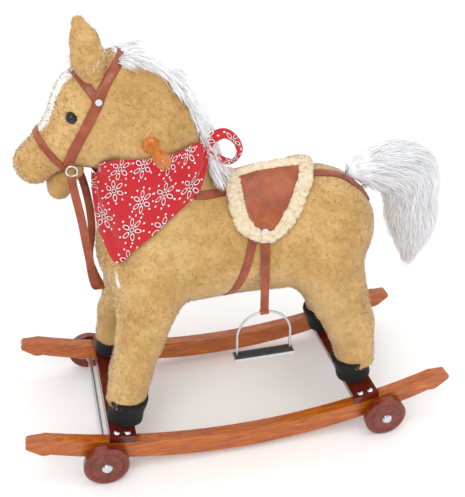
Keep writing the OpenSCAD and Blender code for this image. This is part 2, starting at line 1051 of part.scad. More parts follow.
left_rocker();
right_rocker();
front_cross_board();
rear_cross_board();
cross_board_screws();
front_axle();
rear_axle();
axle_straps();
axle_strap_screws();
wheel_spacers();
axle_cap_nuts();
front_left_wheel();
front_right_wheel();
rear_left_wheel();
rear_right_wheel();
leg_posts();
leg_bolts();
leg_bearers();
frame_spine();
neck_post();
left_handle();
right_handle();
torso();
neck();
head();
lower_jaw();
jaw_pin();
left_ear();
right_ear();
ear_button();
eyes();
mane();
forelock();
front_left_leg();
front_right_leg();
rear_left_leg();
rear_right_leg();
hooves();
tail_arm();
tail();
browband();
cheek_strap();
noseband();
bridle_rings();
reins();
breast_strap();
girth_strap();
crupper_strap();
saddle_seat();
saddle_flaps();
fleece_trim();
tack_studs();
bandana();
left_stirrup_strap();
right_stirrup_strap();
left_stirrup_iron();
right_stirrup_iron();
sound_box();
gear_motors();
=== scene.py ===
import math

import bpy
import numpy as np
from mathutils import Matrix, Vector
from mathutils.bvhtree import BVHTree
from mathutils.kdtree import KDTree


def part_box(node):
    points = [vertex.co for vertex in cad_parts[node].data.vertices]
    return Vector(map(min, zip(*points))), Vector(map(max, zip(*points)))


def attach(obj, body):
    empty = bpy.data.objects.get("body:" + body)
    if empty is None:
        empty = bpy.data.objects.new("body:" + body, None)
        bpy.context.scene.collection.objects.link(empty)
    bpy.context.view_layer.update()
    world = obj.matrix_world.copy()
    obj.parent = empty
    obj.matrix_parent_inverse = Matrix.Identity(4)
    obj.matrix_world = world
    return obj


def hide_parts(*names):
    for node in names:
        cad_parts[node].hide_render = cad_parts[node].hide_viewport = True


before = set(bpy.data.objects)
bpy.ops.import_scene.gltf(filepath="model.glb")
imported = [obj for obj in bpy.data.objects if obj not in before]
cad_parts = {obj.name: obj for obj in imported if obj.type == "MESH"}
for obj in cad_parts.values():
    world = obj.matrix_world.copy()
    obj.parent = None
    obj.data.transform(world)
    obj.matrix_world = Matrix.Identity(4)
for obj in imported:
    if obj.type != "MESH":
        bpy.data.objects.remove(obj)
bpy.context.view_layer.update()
rng = np.random.default_rng(11)
MM = 0.001
ROOT = "horse"
TILT = math.radians(11.07)  # how far each pair of legs leans
BARREL_Z = 352  # height of the barrel's axis, in millimetres
BARREL_R = 98
SADDLE_R = 104.0  # the radius at which the saddle's arc lengths are measured
SADDLE_FOOT = 114.5  # arc length from the ridge to the saddle's lowest point
A = np.array


# ---------------------------------------------------------------- camera
def add_camera():
    cam = bpy.data.objects.new("camera", bpy.data.cameras.new("camera"))
    bpy.context.scene.collection.objects.link(cam)
    cam.location = (0.2836, 1.1585, 1.02295)
    look = Vector((-0.2089, -0.8367, -0.5062))
    cam.rotation_mode = "QUATERNION"
    cam.rotation_quaternion = look.to_track_quat("-Z", "Y")
    cam.data.lens = 59.05
    cam.data.sensor_width = 36
    cam.data.shift_x = cam.data.shift_y = 0.002
    cam.data.clip_start = 0.05
    cam.data.clip_end = 30
    bpy.context.scene.camera = cam


add_camera()


# ---------------------------------------------------------------- materials
def lin(c):
    """A colour given in 0 to 255 screen values, as linear RGBA."""
    v = [x / 255 for x in c]
    return tuple([x / 12.92 if x <= 0.04045 else ((x + 0.055) / 1.055) ** 2.4 for x in v] + [1.0])


class Nodes:
    """A small builder of node materials."""

    def __init__(self, name):
        self.mat = bpy.data.materials.new(name)
        self.mat.use_nodes = True
        self.tree = self.mat.node_tree
        self.shader = self.tree.nodes["Principled BSDF"]
        self.coord = self.add("ShaderNodeTexCoord")

    def add(self, kind, **inputs):
        node = self.tree.nodes.new(kind)
        for key, value in inputs.items():
            self.put(node.inputs[key.replace("_", " ")], value)
        return node

    def put(self, socket, value):
        if isinstance(value, bpy.types.NodeSocket):
            self.tree.links.new(value, socket)
        else:
            socket.default_value = value

    def set(self, **inputs):
        for key, value in inputs.items():
            self.put(self.shader.inputs[key.replace("_", " ")], value)

    def where(self, scale=(1, 1, 1), kind="Object"):
        m = self.add("ShaderNodeMapping", Vector=self.coord.outputs[kind])
        m.inputs["Scale"].default_value = scale
        return m.outputs[0]

    def noise(self, scale, detail=3.0, stretch=(1, 1, 1), rough=0.55, distort=0.0, kind="Object"):
        n = self.add("ShaderNodeTexNoise", Vector=self.where(stretch, kind), Scale=scale, Detail=detail,
                     Roughness=rough, Distortion=distort)
        return n.outputs[0]

    def ramp(self, value, *stops):
        """Stops are (place, colour) pairs. A colour is a 0 to 255 triple, or one number for a linear grey."""
        r = self.add("ShaderNodeValToRGB", Fac=value)
        e = r.color_ramp.elements
        while len(e) < len(stops):
            e.new(0.5)
        for item, (at, colour) in zip(e, stops, strict=True):
            item.position = at
            item.color = lin(colour) if isinstance(colour, tuple) else grey(colour)
        return r.outputs[0]

    def mix(self, fac, a, b, how="MIX"):
        m = self.add("ShaderNodeMix")
        m.data_type = "RGBA"
        m.blend_type = how
        self.put(m.inputs[0], fac)
        self.put(m.inputs[6], a)
        self.put(m.inputs[7], b)
        return m.outputs[2]

    def math(self, how, a, b=0.5, c=0.5):
        m = self.add("ShaderNodeMath")
        m.operation = how
        for socket, value in zip(m.inputs, (a, b, c), strict=True):
            self.put(socket, value)
        return m.outputs[0]

    def attribute(self, name):
        n = self.add("ShaderNodeAttribute")
        n.attribute_name = name
        return n

    def bump(self, height, strength, distance=0.001):
        b = self.add("ShaderNodeBump", Height=height, Strength=strength, Distance=distance)
        self.put(self.shader.inputs["Normal"], b.outputs[0])


def grey(v):
    return (v, v, v, 1.0)


def wood(name, dark, mid, light, gloss, grain=(1, 9, 9), scale=26.0):
    n = Nodes(name)
    streak = n.noise(scale, 6, grain, 0.6, 0.6)
    band = n.noise(scale * 0.35, 3, (grain[0] * 0.6, grain[1], grain[2]), 0.5, 1.2)
    base = n.ramp(streak, (0.28, dark), (0.52, mid), (0.75, light))
    n.set(Base_Color=n.mix(n.ramp(band, (0.35, 0), (0.7, 0.55)), base, lin(dark)),
          Roughness=n.ramp(streak, (0.2, gloss + 0.10), (0.8, gloss)),
          Coat_Weight=0.3, Coat_Roughness=0.12)
    n.bump(streak, 0.12, 0.0004)
    return n.mat


def metal(name, colour, rough):
    n = Nodes(name)
    fine = n.noise(420, 4)
    n.set(Base_Color=n.ramp(fine, (0.3, colour), (0.7, tuple(min(255, x + 14) for x in colour))),
          Metallic=1.0, Roughness=n.ramp(fine, (0.3, rough), (0.7, rough + 0.12)))
    n.bump(fine, 0.03, 0.0002)
    return n.mat


def leather(name, dark, mid, light, rough=0.42):
    n = Nodes(name)
    pore = n.add("ShaderNodeTexVoronoi", Vector=n.where(), Scale=900.0).outputs["Distance"]
    patch = n.noise(34, 5, rough=0.6)
    n.set(Base_Color=n.ramp(patch, (0.3, dark), (0.52, mid), (0.72, light)),
          Roughness=n.ramp(n.noise(90, 3), (0.3, rough - 0.08), (0.7, rough + 0.12)),
          Specular_IOR_Level=0.5)
    n.bump(n.mix(0.5, pore, n.noise(160, 4)), 0.22, 0.0004)
    return n.mat


def plush(name, dark, mid, light, blaze=None):
    """Short pile: patchy colour, a per-tuft tint and a soft sheen."""
    n = Nodes(name)
    patch = n.noise(16, 4, rough=0.6)
    fine = n.noise(190, 3, rough=0.7)
    base = n.ramp(patch, (0.30, dark), (0.5, mid), (0.70, light))
    base = n.mix(n.ramp(fine, (0.35, 0.1), (0.65, 0)), base, lin(dark))
    tint = n.attribute("tint").outputs["Fac"]
    base = n.mix(0.8, base, n.ramp(tint, (0.0, 0.89), (0.5, 1.0), (1.0, 1.1)), "MULTIPLY")
    if blaze:
        base = n.mix(n.attribute("blaze").outputs["Fac"], base, lin(blaze))
    n.set(Base_Color=base, Roughness=n.ramp(fine, (0.3, 0.85), (0.7, 0.97)),
          Sheen_Weight=0.35, Sheen_Roughness=0.5, Specular_IOR_Level=0.1)
    n.bump(fine, 0.25, 0.001)
    return n.mat


def hair(name, dark, light, tip):
    n = Nodes(name)
    tint = n.attribute("tint").outputs["Fac"]
    along = n.attribute("along").outputs["Fac"]
    base = n.ramp(tint, (0.0, dark), (0.45, light), (1.0, tip))
    # darker towards each hair's root: painted shade where the hairs crowd together
    base = n.mix(n.ramp(along, (0.0, 0.2), (0.5, 0.0)), base, lin(dark))
    streak = n.noise(130, 3)
    n.set(Base_Color=n.mix(n.ramp(streak, (0.35, 0.15), (0.6, 0)), base, lin(dark)),
          Roughness=n.ramp(streak, (0.3, 0.45), (0.7, 0.6)), Sheen_Weight=0.2, Specular_IOR_Level=0.3)
    n.bump(streak, 0.2, 0.0008)
    return n.mat


def cloth(name):
    """Red cotton printed with rings of white-edged drops and dots, laid out in the flat cloth's own metres."""
    n = Nodes(name)
    uv = n.coord.outputs["UV"]
    red, white, black = lin((190, 14, 30)), lin((244, 238, 236)), lin((40, 12, 24))
    cell = n.add("ShaderNodeTexVoronoi", Vector=uv, Scale=19.0, Randomness=0.32)
    away = n.add("ShaderNodeVectorMath", Vector=uv)
    away.operation = "SUBTRACT"
    n.tree.links.new(cell.outputs["Position"], away.inputs[1])
    split = n.add("ShaderNodeSeparateXYZ", Vector=away.outputs[0])
    x, y = split.outputs["X"], split.outputs["Y"]
    rho = n.math("SQRT", n.math("ADD", n.math("MULTIPLY", x, x), n.math("MULTIPLY", y, y)))
    phi = n.math("ADD", n.math("ARCTAN2", y, x), n.math("MULTIPLY", cell.outputs["Color"], 6.0))

    def drops(count, radius, length, width):
        """Distance measure of count drops on a circle: 1 on their outline."""
        turn = n.math("FRACT", n.math("ADD", n.math("MULTIPLY", phi, count / 6.2832), 20.0))
        side = n.math("MULTIPLY", n.math("SUBTRACT", turn, 0.5), n.math("MULTIPLY", rho, 6.2832 / count))
        a = n.math("DIVIDE", side, width)
        b = n.math("DIVIDE", n.math("SUBTRACT", rho, radius), length)
        return n.math("SQRT", n.math("ADD", n.math("MULTIPLY", a, a), n.math("MULTIPLY", b, b)))

    petal = drops(6, 0.0125, 0.0066, 0.0036)
    beads = drops(11, 0.0228, 0.0019, 0.0015)
    heart = n.math("DIVIDE", rho, 0.0042)

    def paint(under, d, colour, *stops):
        return n.mix(n.ramp(n.math("MULTIPLY", d, 0.5), *stops), under, colour)

    base = red
    for d in (petal, heart):
        base = paint(base, d, black, (0.50, 0), (0.52, 1), (0.57, 1), (0.60, 0))
        base = paint(base, d, white, (0.35, 0), (0.38, 1), (0.49, 1), (0.51, 0))
        base = paint(base, d, black, (0.12, 0.8), (0.16, 0))
    base = paint(base, beads, white, (0.44, 1), (0.52, 0))
    weave = n.noise(900, 2)
    swirl = n.noise(9, 2, kind="UV")
    n.set(Base_Color=n.mix(n.ramp(swirl, (0.35, 0.12), (0.6, 0)), base, lin((150, 8, 24))),
          Roughness=n.ramp(weave, (0.3, 0.7), (0.7, 0.85)), Sheen_Weight=0.15)
    n.bump(weave, 0.2, 0.0003)
    return n.mat


def plain(name, a, b, scale, rough, coat=0.0, bump=0.1, sheen=0.0):
    n = Nodes(name)
    f = n.noise(scale, 4)
    n.set(Base_Color=n.ramp(f, (0.3, a), (0.7, b)),
          Roughness=n.ramp(f, (0.3, rough), (0.7, rough + 0.1)), Coat_Weight=coat, Sheen_Weight=sheen)
    n.bump(f, bump, 0.001)
    return n.mat


M = {
    "rocker": wood("rocker_wood", (140, 58, 12), (188, 98, 20), (216, 128, 36), 0.2),
    "dark_wood": wood("mahogany_wood", (66, 16, 8), (100, 30, 14), (134, 48, 22), 0.2),
    "rubber": plain("tread_rubber", (34, 34, 36), (70, 70, 72), 300, 0.6, bump=0.3),
    "wheel_wood": wood("wheel_wood", (84, 22, 6), (122, 38, 12), (150, 60, 22), 0.2, (4, 4, 4), 20),
    "handle_wood": wood("handle_wood", (158, 80, 26), (204, 118, 46), (228, 148, 70), 0.12, (9, 1, 9), 30),
    "raw_wood": wood("frame_wood", (190, 150, 100), (210, 175, 125), (225, 195, 150), 0.5),
    "chrome": metal("chrome", (205, 208, 212), 0.12),
    "steel": metal("steel", (196, 200, 206), 0.26),
    "leather": leather("brown_leather", (132, 60, 28), (156, 76, 38), (174, 94, 52), 0.26),
    "strap": leather("strap_leather", (124, 50, 24), (148, 68, 36), (170, 88, 54), 0.28),
    "plush": plush("tan_plush", (188, 147, 88), (205, 165, 105), (219, 184, 128), blaze=(246, 242, 234)),
    "hair": hair("white_hair", (224, 225, 229), (247, 247, 249), (254, 254, 255)),
    "hair_core": plain("white_felt", (232, 233, 236), (248, 248, 250), 60, 0.9, bump=0.3, sheen=0.2),
    "fleece": plain("cream_fleece", (222, 202, 168), (240, 226, 200), 120, 0.92, bump=0.5, sheen=0.2),
    "cloth": cloth("bandana_cotton"),
    "black_fabric": plain("black_fabric", (5, 5, 6), (18, 17, 18), 240, 0.9, bump=0.5, sheen=0.05),
    "eye": plain("eye_gloss", (2, 2, 2), (7, 6, 5), 60, 0.08, coat=0.12, bump=0.0),
    "plastic": plain("grey_plastic", (70, 72, 76), (86, 88, 92), 200, 0.5),
}


def paint_cad(material, *names):
    for name in names:
        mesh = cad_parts[name].data
        mesh.materials.clear()
        mesh.materials.append(M[material])


def soften_edges(width, *names):
    for name in names:
        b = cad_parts[name].modifiers.new("edges", "BEVEL")
        b.width, b.segments, b.limit_method, b.angle_limit = width, 3, "ANGLE", math.radians(38)
        b.harden_normals = True


WHEELS = [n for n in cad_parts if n.endswith("_wheel")]
paint_cad("rocker", "left_rocker", "right_rocker")
paint_cad("dark_wood", "front_cross_board", "rear_cross_board")
paint_cad("wheel_wood", *WHEELS)
paint_cad("handle_wood", "left_handle", "right_handle")
paint_cad("raw_wood", "leg_posts", "leg_bearers", "frame_spine", "neck_post")
paint_cad("chrome", "axle_cap_nuts", "cross_board_screws", "tack_studs", "bridle_rings")
paint_cad("steel", "front_axle", "rear_axle", "axle_straps", "axle_strap_screws", "wheel_spacers", "leg_bolts",
          "jaw_pin", "left_stirrup_iron", "right_stirrup_iron")
paint_cad("plastic", "sound_box", "gear_motors", "ear_button")
paint_cad("hair_core", "tail_arm")
paint_cad("eye", "eyes")
paint_cad("strap", "left_stirrup_strap", "right_stirrup_strap")
soften_edges(0.0022, "left_rocker", "right_rocker")
soften_edges(0.0012, "front_cross_board", "rear_cross_board")


# ---------------------------------------------------------------- meshes
def make(name, verts, faces, material, body=ROOT, smooth=True, attrs=None, uv=None, nodes=()):
    """A mesh piece from points in millimetres, all triangles or all quads, in place of the nodes named."""
    mesh = bpy.data.meshes.new(name)
    verts = np.asarray(verts, float) * MM
    faces = np.asarray(faces, np.int32)
    k = faces.shape[1]
    mesh.vertices.add(len(verts))
    mesh.vertices.foreach_set("co", verts.astype(np.float32).ravel())
    mesh.loops.add(faces.size)
    mesh.loops.foreach_set("vertex_index", faces.ravel())
    mesh.polygons.add(len(faces))
    mesh.polygons.foreach_set("loop_start", np.arange(0, faces.size, k, dtype=np.int32))
    mesh.update(calc_edges=True)
    mesh.validate()
    if smooth:
        mesh.shade_smooth()
    for key, values in (attrs or {}).items():
        a = mesh.attributes.new(key, "FLOAT", "POINT")
        a.data.foreach_set("value", np.asarray(values, np.float32))
    if uv is not None:
        layer = mesh.uv_layers.new(name="UVMap")
        index = np.zeros(len(mesh.loops), np.int32)
        mesh.loops.foreach_get("vertex_index", index)
        layer.data.foreach_set("uv", np.asarray(uv, np.float32)[index].ravel())
    mesh.materials.append(M[material])
    o = bpy.data.objects.new(name, mesh)
    bpy.context.scene.collection.objects.link(o)
    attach(o, body)
    if nodes:
        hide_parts(*nodes)
    return o


def grid(rows, cols, close_rows=False, close_cols=False):
    """Quads over rows x cols points laid out row by row, closed round either way on request."""
    i, j = np.meshgrid(np.arange(rows - 1 + close_rows), np.arange(cols - 1 + close_cols), indexing="ij")
    below, beside = (i + 1) % rows * cols, (j + 1) % cols
    return np.stack([i * cols + j, i * cols + beside, below + beside, below + j], -1).reshape(-1, 4)


def turn(n):
    return np.linspace(0, 2 * np.pi, n, endpoint=False)


TURNED = [0, 3, 2, 1]  # a quad's corners in the opposite order, from the same first corner


def smooth_union(a, b, k):
    """The union of two distances, run together over about k."""
    h = np.clip(0.5 + 0.5 * (b - a) / k, 0, 1)
    return b + (a - b) * h - k * h * (1 - h)


def ball(p, c, r):
    return np.linalg.norm(p - A(c, float), axis=1) - r


def cone(p, a, b, ra, rb, flat=1.0):
    """Distance to a round tapered limb from a to b. flat squeezes it sideways."""
    a, b = A(a, float), A(b, float)
    q = p - a
    d = b - a
    if flat != 1.0:
        q = q / A([1, flat, 1])
        d = d / A([1, flat, 1])
    t = np.clip(q @ d / (d @ d), 0, 1)
    return (np.linalg.norm(q - t[:, None] * d, axis=1) - (ra + t * (rb - ra))) * (flat if flat < 1 else 1)


def chain(p, points, radii, blends, flat=1.0):
    """Distance to a limb of cones from point to point. Each joint has its own blend."""
    d = cone(p, points[0], points[1], radii[0], radii[1], flat)
    for k, blend in enumerate(blends, 1):
        d = smooth_union(d, cone(p, points[k], points[k + 1], radii[k], radii[k + 1], flat), blend)
    return d


LATTICE = rng.random((32, 32, 32))


def noise3(p, scale):
    """Smooth random field from -1 to 1, with features of about scale."""
    q = np.asarray(p) / scale
    i = np.floor(q).astype(int)
    f = q - i
    f = f * f * (3 - 2 * f)
    out = np.zeros(len(q))
    for dx in (0, 1):
        for dy in (0, 1):
            for dz in (0, 1):
                w = ((f[:, 0] if dx else 1 - f[:, 0]) * (f[:, 1] if dy else 1 - f[:, 1])
                     * (f[:, 2] if dz else 1 - f[:, 2]))
                out += w * LATTICE[(i[:, 0] + dx) % 32, (i[:, 1] + dy) % 32, (i[:, 2] + dz) % 32]
    return out * 2 - 1


def gradient(f, p, e=0.5):
    return np.stack([f(p + d * e) - f(p - d * e) for d in np.eye(3)], 1) / (2 * e)


def skin_of(f, lo, hi, h):
    """Quads on the zero level of f, by naive surface nets, settled onto it."""
    lo, hi = A(lo, float), A(hi, float)
    n = np.ceil((hi - lo) / h).astype(int) + 1
    axes = [lo[k] + h * np.arange(n[k]) for k in range(3)]
    g = np.empty(n)
    yy, zz = np.meshgrid(axes[1], axes[2], indexing="ij")
    for i, x in enumerate(axes[0]):
        pts = np.stack([np.full(yy.size, x), yy.ravel(), zz.ravel()], 1)
        g[i] = f(pts).reshape(yy.shape)
    s = g < 0
    corners = [(a, b, c) for a in (0, 1) for b in (0, 1) for c in (0, 1)]
    part = lambda v, c: v[c[0]:n[0] - 1 + c[0], c[1]:n[1] - 1 + c[1], c[2]:n[2] - 1 + c[2]]
    count = sum(part(s, c).astype(int) for c in corners)
    live = (count > 0) & (count < 8)
    index = np.full(live.shape, -1)
    index[live] = np.arange(live.sum())
    cell = np.stack(np.nonzero(live), 1)
    total, hits = np.zeros((len(cell), 3)), np.zeros(len(cell))
    for c in corners:
        for axis in range(3):
            if c[axis]:
                continue
            e = list(c)
            e[axis] = 1
            va, vb = part(g, c)[live], part(g, tuple(e))[live]
            cut = (va < 0) != (vb < 0)
            t = np.where(cut, va / np.where(cut, va - vb, 1), 0)
            p = np.tile(A(c, float), (len(cell), 1))
            p[:, axis] += t
            total += p * cut[:, None]
            hits += cut
    verts = lo + h * (cell + total / hits[:, None])
    quads = []
    for axis in range(3):
        b, c = (axis + 1) % 3, (axis + 2) % 3
        sl = [slice(1, -1)] * 3
        sl[axis] = slice(0, n[axis] - 1)
        sm = [slice(1, -1)] * 3
        sm[axis] = slice(1, n[axis])
        here, there = s[tuple(sl)], s[tuple(sm)]
        i = np.stack(np.nonzero(here != there), 1)
        inside = here[tuple(i.T)]
        i = i + 1
        i[:, axis] -= 1
        q = []
        for db, dc in ((1, 1), (0, 1), (0, 0), (1, 0)):
            j = i.copy()
            j[:, b] -= db
            j[:, c] -= dc
            q.append(index[tuple(j.T)])
        q = np.stack(q, 1)
        q[~inside] = q[~inside][:, ::-1]
        quads.append(q)
    quads = np.concatenate(quads)
    for _ in range(3):
        gr = gradient(f, verts)
        verts = verts - (f(verts) / np.maximum((gr * gr).sum(1), 0.05))[:, None] * gr * 0.9
    return verts, quads


# ---------------------------------------------------------------- plush body
JAW_AT = A([240, 0, 503.0])


def jaw_field(p, g=0.0):
    knuckle = np.maximum(np.hypot(p[:, 0] - JAW_AT[0], p[:, 2] - JAW_AT[2]) - 11, np.abs(p[:, 1]) - 17)
    d = smooth_union(knuckle, cone(p, (244, 0, 500), (264, 0, 484), 14, 19), 6)
    return smooth_union(d, cone(p, (263, 0, 484), (267, 0, 471), 19, 17.5), 8) - g


def turned(p, degrees):
    """p turned back about the jaw's pin, so a field read there is the jaw closed by that much."""
    a = math.radians(degrees)
    q = p - JAW_AT
    return np.stack([q[:, 0] * math.cos(a) + q[:, 2] * math.sin(a), q[:, 1],
                     -q[:, 0] * math.sin(a) + q[:, 2] * math.cos(a)], 1) + JAW_AT


def body_field(p):
    d = chain(p, [(x, 0, BARREL_Z) for x in (-149, -70, 50, 115)], (102.5, 97.5, 97.5, 105), (8, 8))
    legs = None
    for s in (1, -1):
        front = chain(p, [(204, s * 93, 96), (187, s * 90, 172), (169, s * 86, 230), (142, s * 60, 314)],
                      (31.5, 34, 37, 62), (8, 12))
        rear = chain(p, [(-218, s * 81, 96), (-200, s * 75, 190), (-150, s * 54, 318)], (31.5, 40, 66), (10,))
        pair = np.minimum(front, rear)
        legs = pair if legs is None else np.minimum(legs, pair)
    d = smooth_union(d, legs, 16)
    neck = cone(p, (114, 0, 425), (122, 0, 556), 93, 79, 0.73)
    neck = smooth_union(neck, cone(p, (122, 0, 556), (130, 0, 618), 79, 57, 0.80), 8)
    d = smooth_union(d, neck, 22)
    poll, brow, cheek, bridge, nose = (170, 0, 628), (212, 0, 604), (205, 0, 560), (257, 0, 547), (299, 0, 517)
    head = smooth_union(cone(p, poll, brow, 48, 50), cone(p, poll, cheek, 48, 54), 8)
    head = smooth_union(head, cone(p, brow, bridge, 50, 36), 8)
    head = smooth_union(head, cone(p, cheek, bridge, 54, 36), 8)
    head = smooth_union(head, cone(p, bridge, nose, 36, 31), 10)
    for s in (1, -1):
        head = np.maximum(head, -(ball(p, (240, s * 42, 598), 9.3)))
        head = -smooth_union(-head, ball(p, (322, s * 15, 528), 4.5), 3)
    d = smooth_union(d, head, 14)
    for closing in (0, 6, 12):
        d = np.maximum(d, -jaw_field(turned(p, closing), 1.4))
    lean = math.tan(TILT)
    sole = 112 + np.where(p[:, 0] > 0, p[:, 0] - 204, -(p[:, 0] + 218)) * lean
    return np.maximum(d, sole - p[:, 2])


def body_lumps(p):
    return 1.1 * noise3(p, 34) + 0.5 * noise3(p + 50, 13)


def normals_of(p, quads):
    """Vertex normals of a quad mesh."""
    a, b, c, d = (p[quads[:, k]] for k in range(4))
    face = np.cross(c - a, d - b)
    n = np.zeros_like(p)
    for k in range(4):
        np.add.at(n, quads[:, k], face)
    return n / np.maximum(np.linalg.norm(n, axis=1), 1e-9)[:, None]


def roughen(v, q, amount, scale):
    """The points of a quad mesh moved in and out along its normals by a smooth noise."""
    return v + normals_of(v, q) * (amount * noise3(v, scale))[:, None]


STEP = 4.0
skin_v, skin_q = skin_of(body_field, (-275, -150, 88), (345, 150, 692), STEP)
skin_n = normals_of(skin_v, skin_q)
# the lumps are lower under the saddle and the girth
calm = np.clip((np.abs(skin_v[:, 2] - BARREL_Z) < 110) * (np.abs(skin_v[:, 0] + 40) < 90), 0, 1)
skin_v = skin_v + skin_n * (body_lumps(skin_v) * (1 - 0.7 * calm))[:, None]
pile = 0.55 * noise3(skin_v + 9, 6.5)


def blaze_of(p):
    """The white stripe down the forehead and a small white patch on the chest's left side."""
    b = np.clip(1 - (np.abs(p[:, 1]) - 17 - 3 * noise3(p, 9)) / 4, 0, 1)
    b = b * (p[:, 0] > 222) * (p[:, 2] > 572) * (p[:, 2] - 0.9 * (260 - p[:, 0]) > 540)
    a, e = A([206, 66, 362]), A([200, 84, 334])
    t = np.clip((p - a) @ (e - a) / ((e - a) @ (e - a)), 0, 1)
    near = np.linalg.norm(p - a - t[:, None] * (e - a), axis=1)
    return np.maximum(b, np.clip((8.5 - near) / 3, 0, 1))


def painted_leg_shade(p, n):
    """Painted shade: how far a point lies low on the inner side of a leg, where the pile is painted darker for
    the shade between the legs.
    """
    return np.clip(-n[:, 1] * np.sign(p[:, 1]) * 1.4, 0, 1) * np.clip((300 - p[:, 2]) / 40, 0, 1)


# the tint darkens the inner sides of the lower legs: painted shade between the legs
make("plush_body", skin_v + skin_n * pile[:, None], skin_q, "plush",
     attrs={"tint": 0.45 + 0.25 * noise3(skin_v, 5) - 0.9 * painted_leg_shade(skin_v, skin_n), "blaze": blaze_of(skin_v)},
     nodes=("torso", "neck", "head", "front_left_leg", "front_right_leg", "rear_left_leg", "rear_right_leg"))
BODY = BVHTree.FromPolygons((skin_v * MM).tolist(), skin_q.tolist())


def on_skin(points, lift=0.0):
    """The nearest points of the plush surface, in millimetres, with their normals."""
    out, nor = [], []
    for p in points:
        co, n, _, _ = BODY.find_nearest(Vector(A(p) * MM))
        out.append(A(co) / MM + A(n) * lift)
        nor.append(A(n))
    return A(out), A(nor)


jaw_v, jaw_q = skin_of(jaw_field, (222, -30, 445), (295, 30, 525), 2.5)
jaw_v = roughen(jaw_v, jaw_q, 0.5, 6)
make("plush_jaw", jaw_v, jaw_q, "plush", "lower_jaw", attrs={"tint": 0.45 + 0.2 * noise3(jaw_v, 5)},
     nodes=("lower_jaw",))


# ---------------------------------------------------------------- pile and hair
def many(n):
    """A number of tufts or hairs, given back unchanged."""
    return n


def scatter(verts, quads, n):
    """n points spread evenly over a quad mesh, with the quad's normal."""
    a, b, c, d = (verts[quads[:, k]] for k in range(4))
    face = np.cross(c - a, d - b) / 2
    area = np.linalg.norm(face, axis=1)
    pick = rng.choice(len(quads), n, p=area / area.sum())
    u, v = rng.random((2, n, 1))
    p = (a[pick] * (1 - u) + b[pick] * u) * (1 - v) + (d[pick] * (1 - u) + c[pick] * u) * v
    return p, face[pick] / area[pick][:, None]


def unit(v):
    return v / np.maximum(np.linalg.norm(v, axis=-1, keepdims=True), 1e-9)


def pile_piece(name, p, n, flow, length, width, material, body=ROOT, lean=0.9, blaze_at=None, dark=0.0):
    """Short tufts, one blade each: they lean along flow, and take the colour of the skin under them; dark paints
    shade into them.
    """
    k = len(p)
    side_noise = rng.normal(0, 0.35, (k, 3))
    f = unit(flow - (flow * n).sum(1)[:, None] * n + side_noise)
    d = unit(n + lean * f + rng.normal(0, 0.18, (k, 3)))
    w = unit(np.cross(d, n + rng.normal(0, 0.3, (k, 3))))
    le = (length * rng.uniform(0.65, 1.2, k))[:, None]
    half = width / 2 * rng.uniform(0.7, 1.3, (k, 1))
    root = p - n * 0.6
    verts = np.concatenate([root - w * half, root + w * half, root + d * le])
    i = np.arange(k)
    faces = np.stack([i, i + k, i + 2 * k], 1)
    # dark lowers the tint: painted shade
    tint = np.clip(rng.normal(0.5, 0.12, k) + 0.2 * noise3(p, 14) - dark, 0, 1)
    # roots darker and tips lighter: painted shade deep in the pile and painted light on the tips
    attrs = {"tint": np.concatenate([tint * 0.85, tint * 0.85, np.clip(tint * 1.1, 0, 1)])}
    if blaze_at is not None:
        attrs["blaze"] = np.tile(blaze_at, 3)
    o = make(name, verts, faces, material, body, attrs=attrs)
    normals = np.tile(unit(n + 0.09 * rng.normal(0, 1, (k, 3))), (3, 1))
    o.data.normals_split_custom_set_from_vertices([Vector(v) for v in normals])
    return o


def curls(name, pts, width, node, body=ROOT):
    """Long hair: flat tapered ribbons along curves, given as (count, steps, 3) points."""
    k, m = pts.shape[:2]
    t = np.linspace(0, 1, m)
    tan = unit(np.gradient(pts, axis=1))
    ref = unit(rng.normal(0, 1, (k, 1, 3)))
    side = unit(np.cross(tan, np.broadcast_to(ref, tan.shape)))
    taper = (np.minimum(1, 0.55 + t * 2) * np.sqrt(np.clip(1 - t, 0, 1)) + 0.04)[None, :, None]
    w = width * rng.uniform(0.6, 1.3, (k, 1, 1)) * taper / 2
    verts = np.stack([pts - side * w, pts + side * w], 2).reshape(-1, 3)
    base = (np.arange(k)[:, None] * m + np.arange(m - 1)[None]) * 2
    faces = np.stack([base, base + 1, base + 3, base + 2], -1).reshape(-1, 4)
    tint = np.repeat(np.clip(rng.normal(0.6, 0.18, k), 0, 1), m * 2)
    along = np.tile(np.repeat(t, 2), k)
    make(name, verts, faces, "hair", body, attrs={"tint": tint, "along": along}, nodes=(node,))


def arc_length(p):
    """The distance along a line of points, from its first one."""
    return np.concatenate([[0], np.cumsum(np.linalg.norm(np.diff(p, axis=0), axis=1))])


def polyline(points, n):
    """n points evenly along a smooth curve through the given ones."""
    p = A(points, float)
    out = []
    for i in range(len(p) - 1):
        p0, p1, p2, p3 = p[max(i - 1, 0)], p[i], p[i + 1], p[min(i + 2, len(p) - 1)]
        t = np.linspace(0, 1, 24, endpoint=False)[:, None]
        out.append(0.5 * (2 * p1 + (p2 - p0) * t + (2 * p0 - 5 * p1 + 4 * p2 - p3) * t**2
                          + (3 * p1 - p0 - 3 * p2 + p3) * t**3))
    c = np.concatenate([*out, p[-1:]])
    s = arc_length(c)
    at = np.linspace(0, s[-1], n)
    return np.stack([np.interp(at, s, c[:, k]) for k in range(c.shape[1])], 1)


STRAPS = []


def keep_clear(p):
    """False where a strap or the saddle covers the pile."""
    ok = np.ones(len(p), bool)
    s = SADDLE_R * np.arctan2(np.abs(p[:, 1]), p[:, 2] - BARREL_Z)
    front, rear = saddle_edge(s)
    ok &= ~((p[:, 0] > rear - 8) & (p[:, 0] < front + 8) & (s < 122) & (p[:, 2] > 380))
    for line, reach in STRAPS:
        tree = KDTree(len(line))
        for i, q in enumerate(line):
            tree.insert(q, i)
        tree.balance()
        box = np.all((p > line.min(0) - reach) & (p < line.max(0) + reach), axis=1) & ok
        for i in np.nonzero(box)[0]:
            if tree.find(p[i])[2] < reach:
                ok[i] = False
    return ok


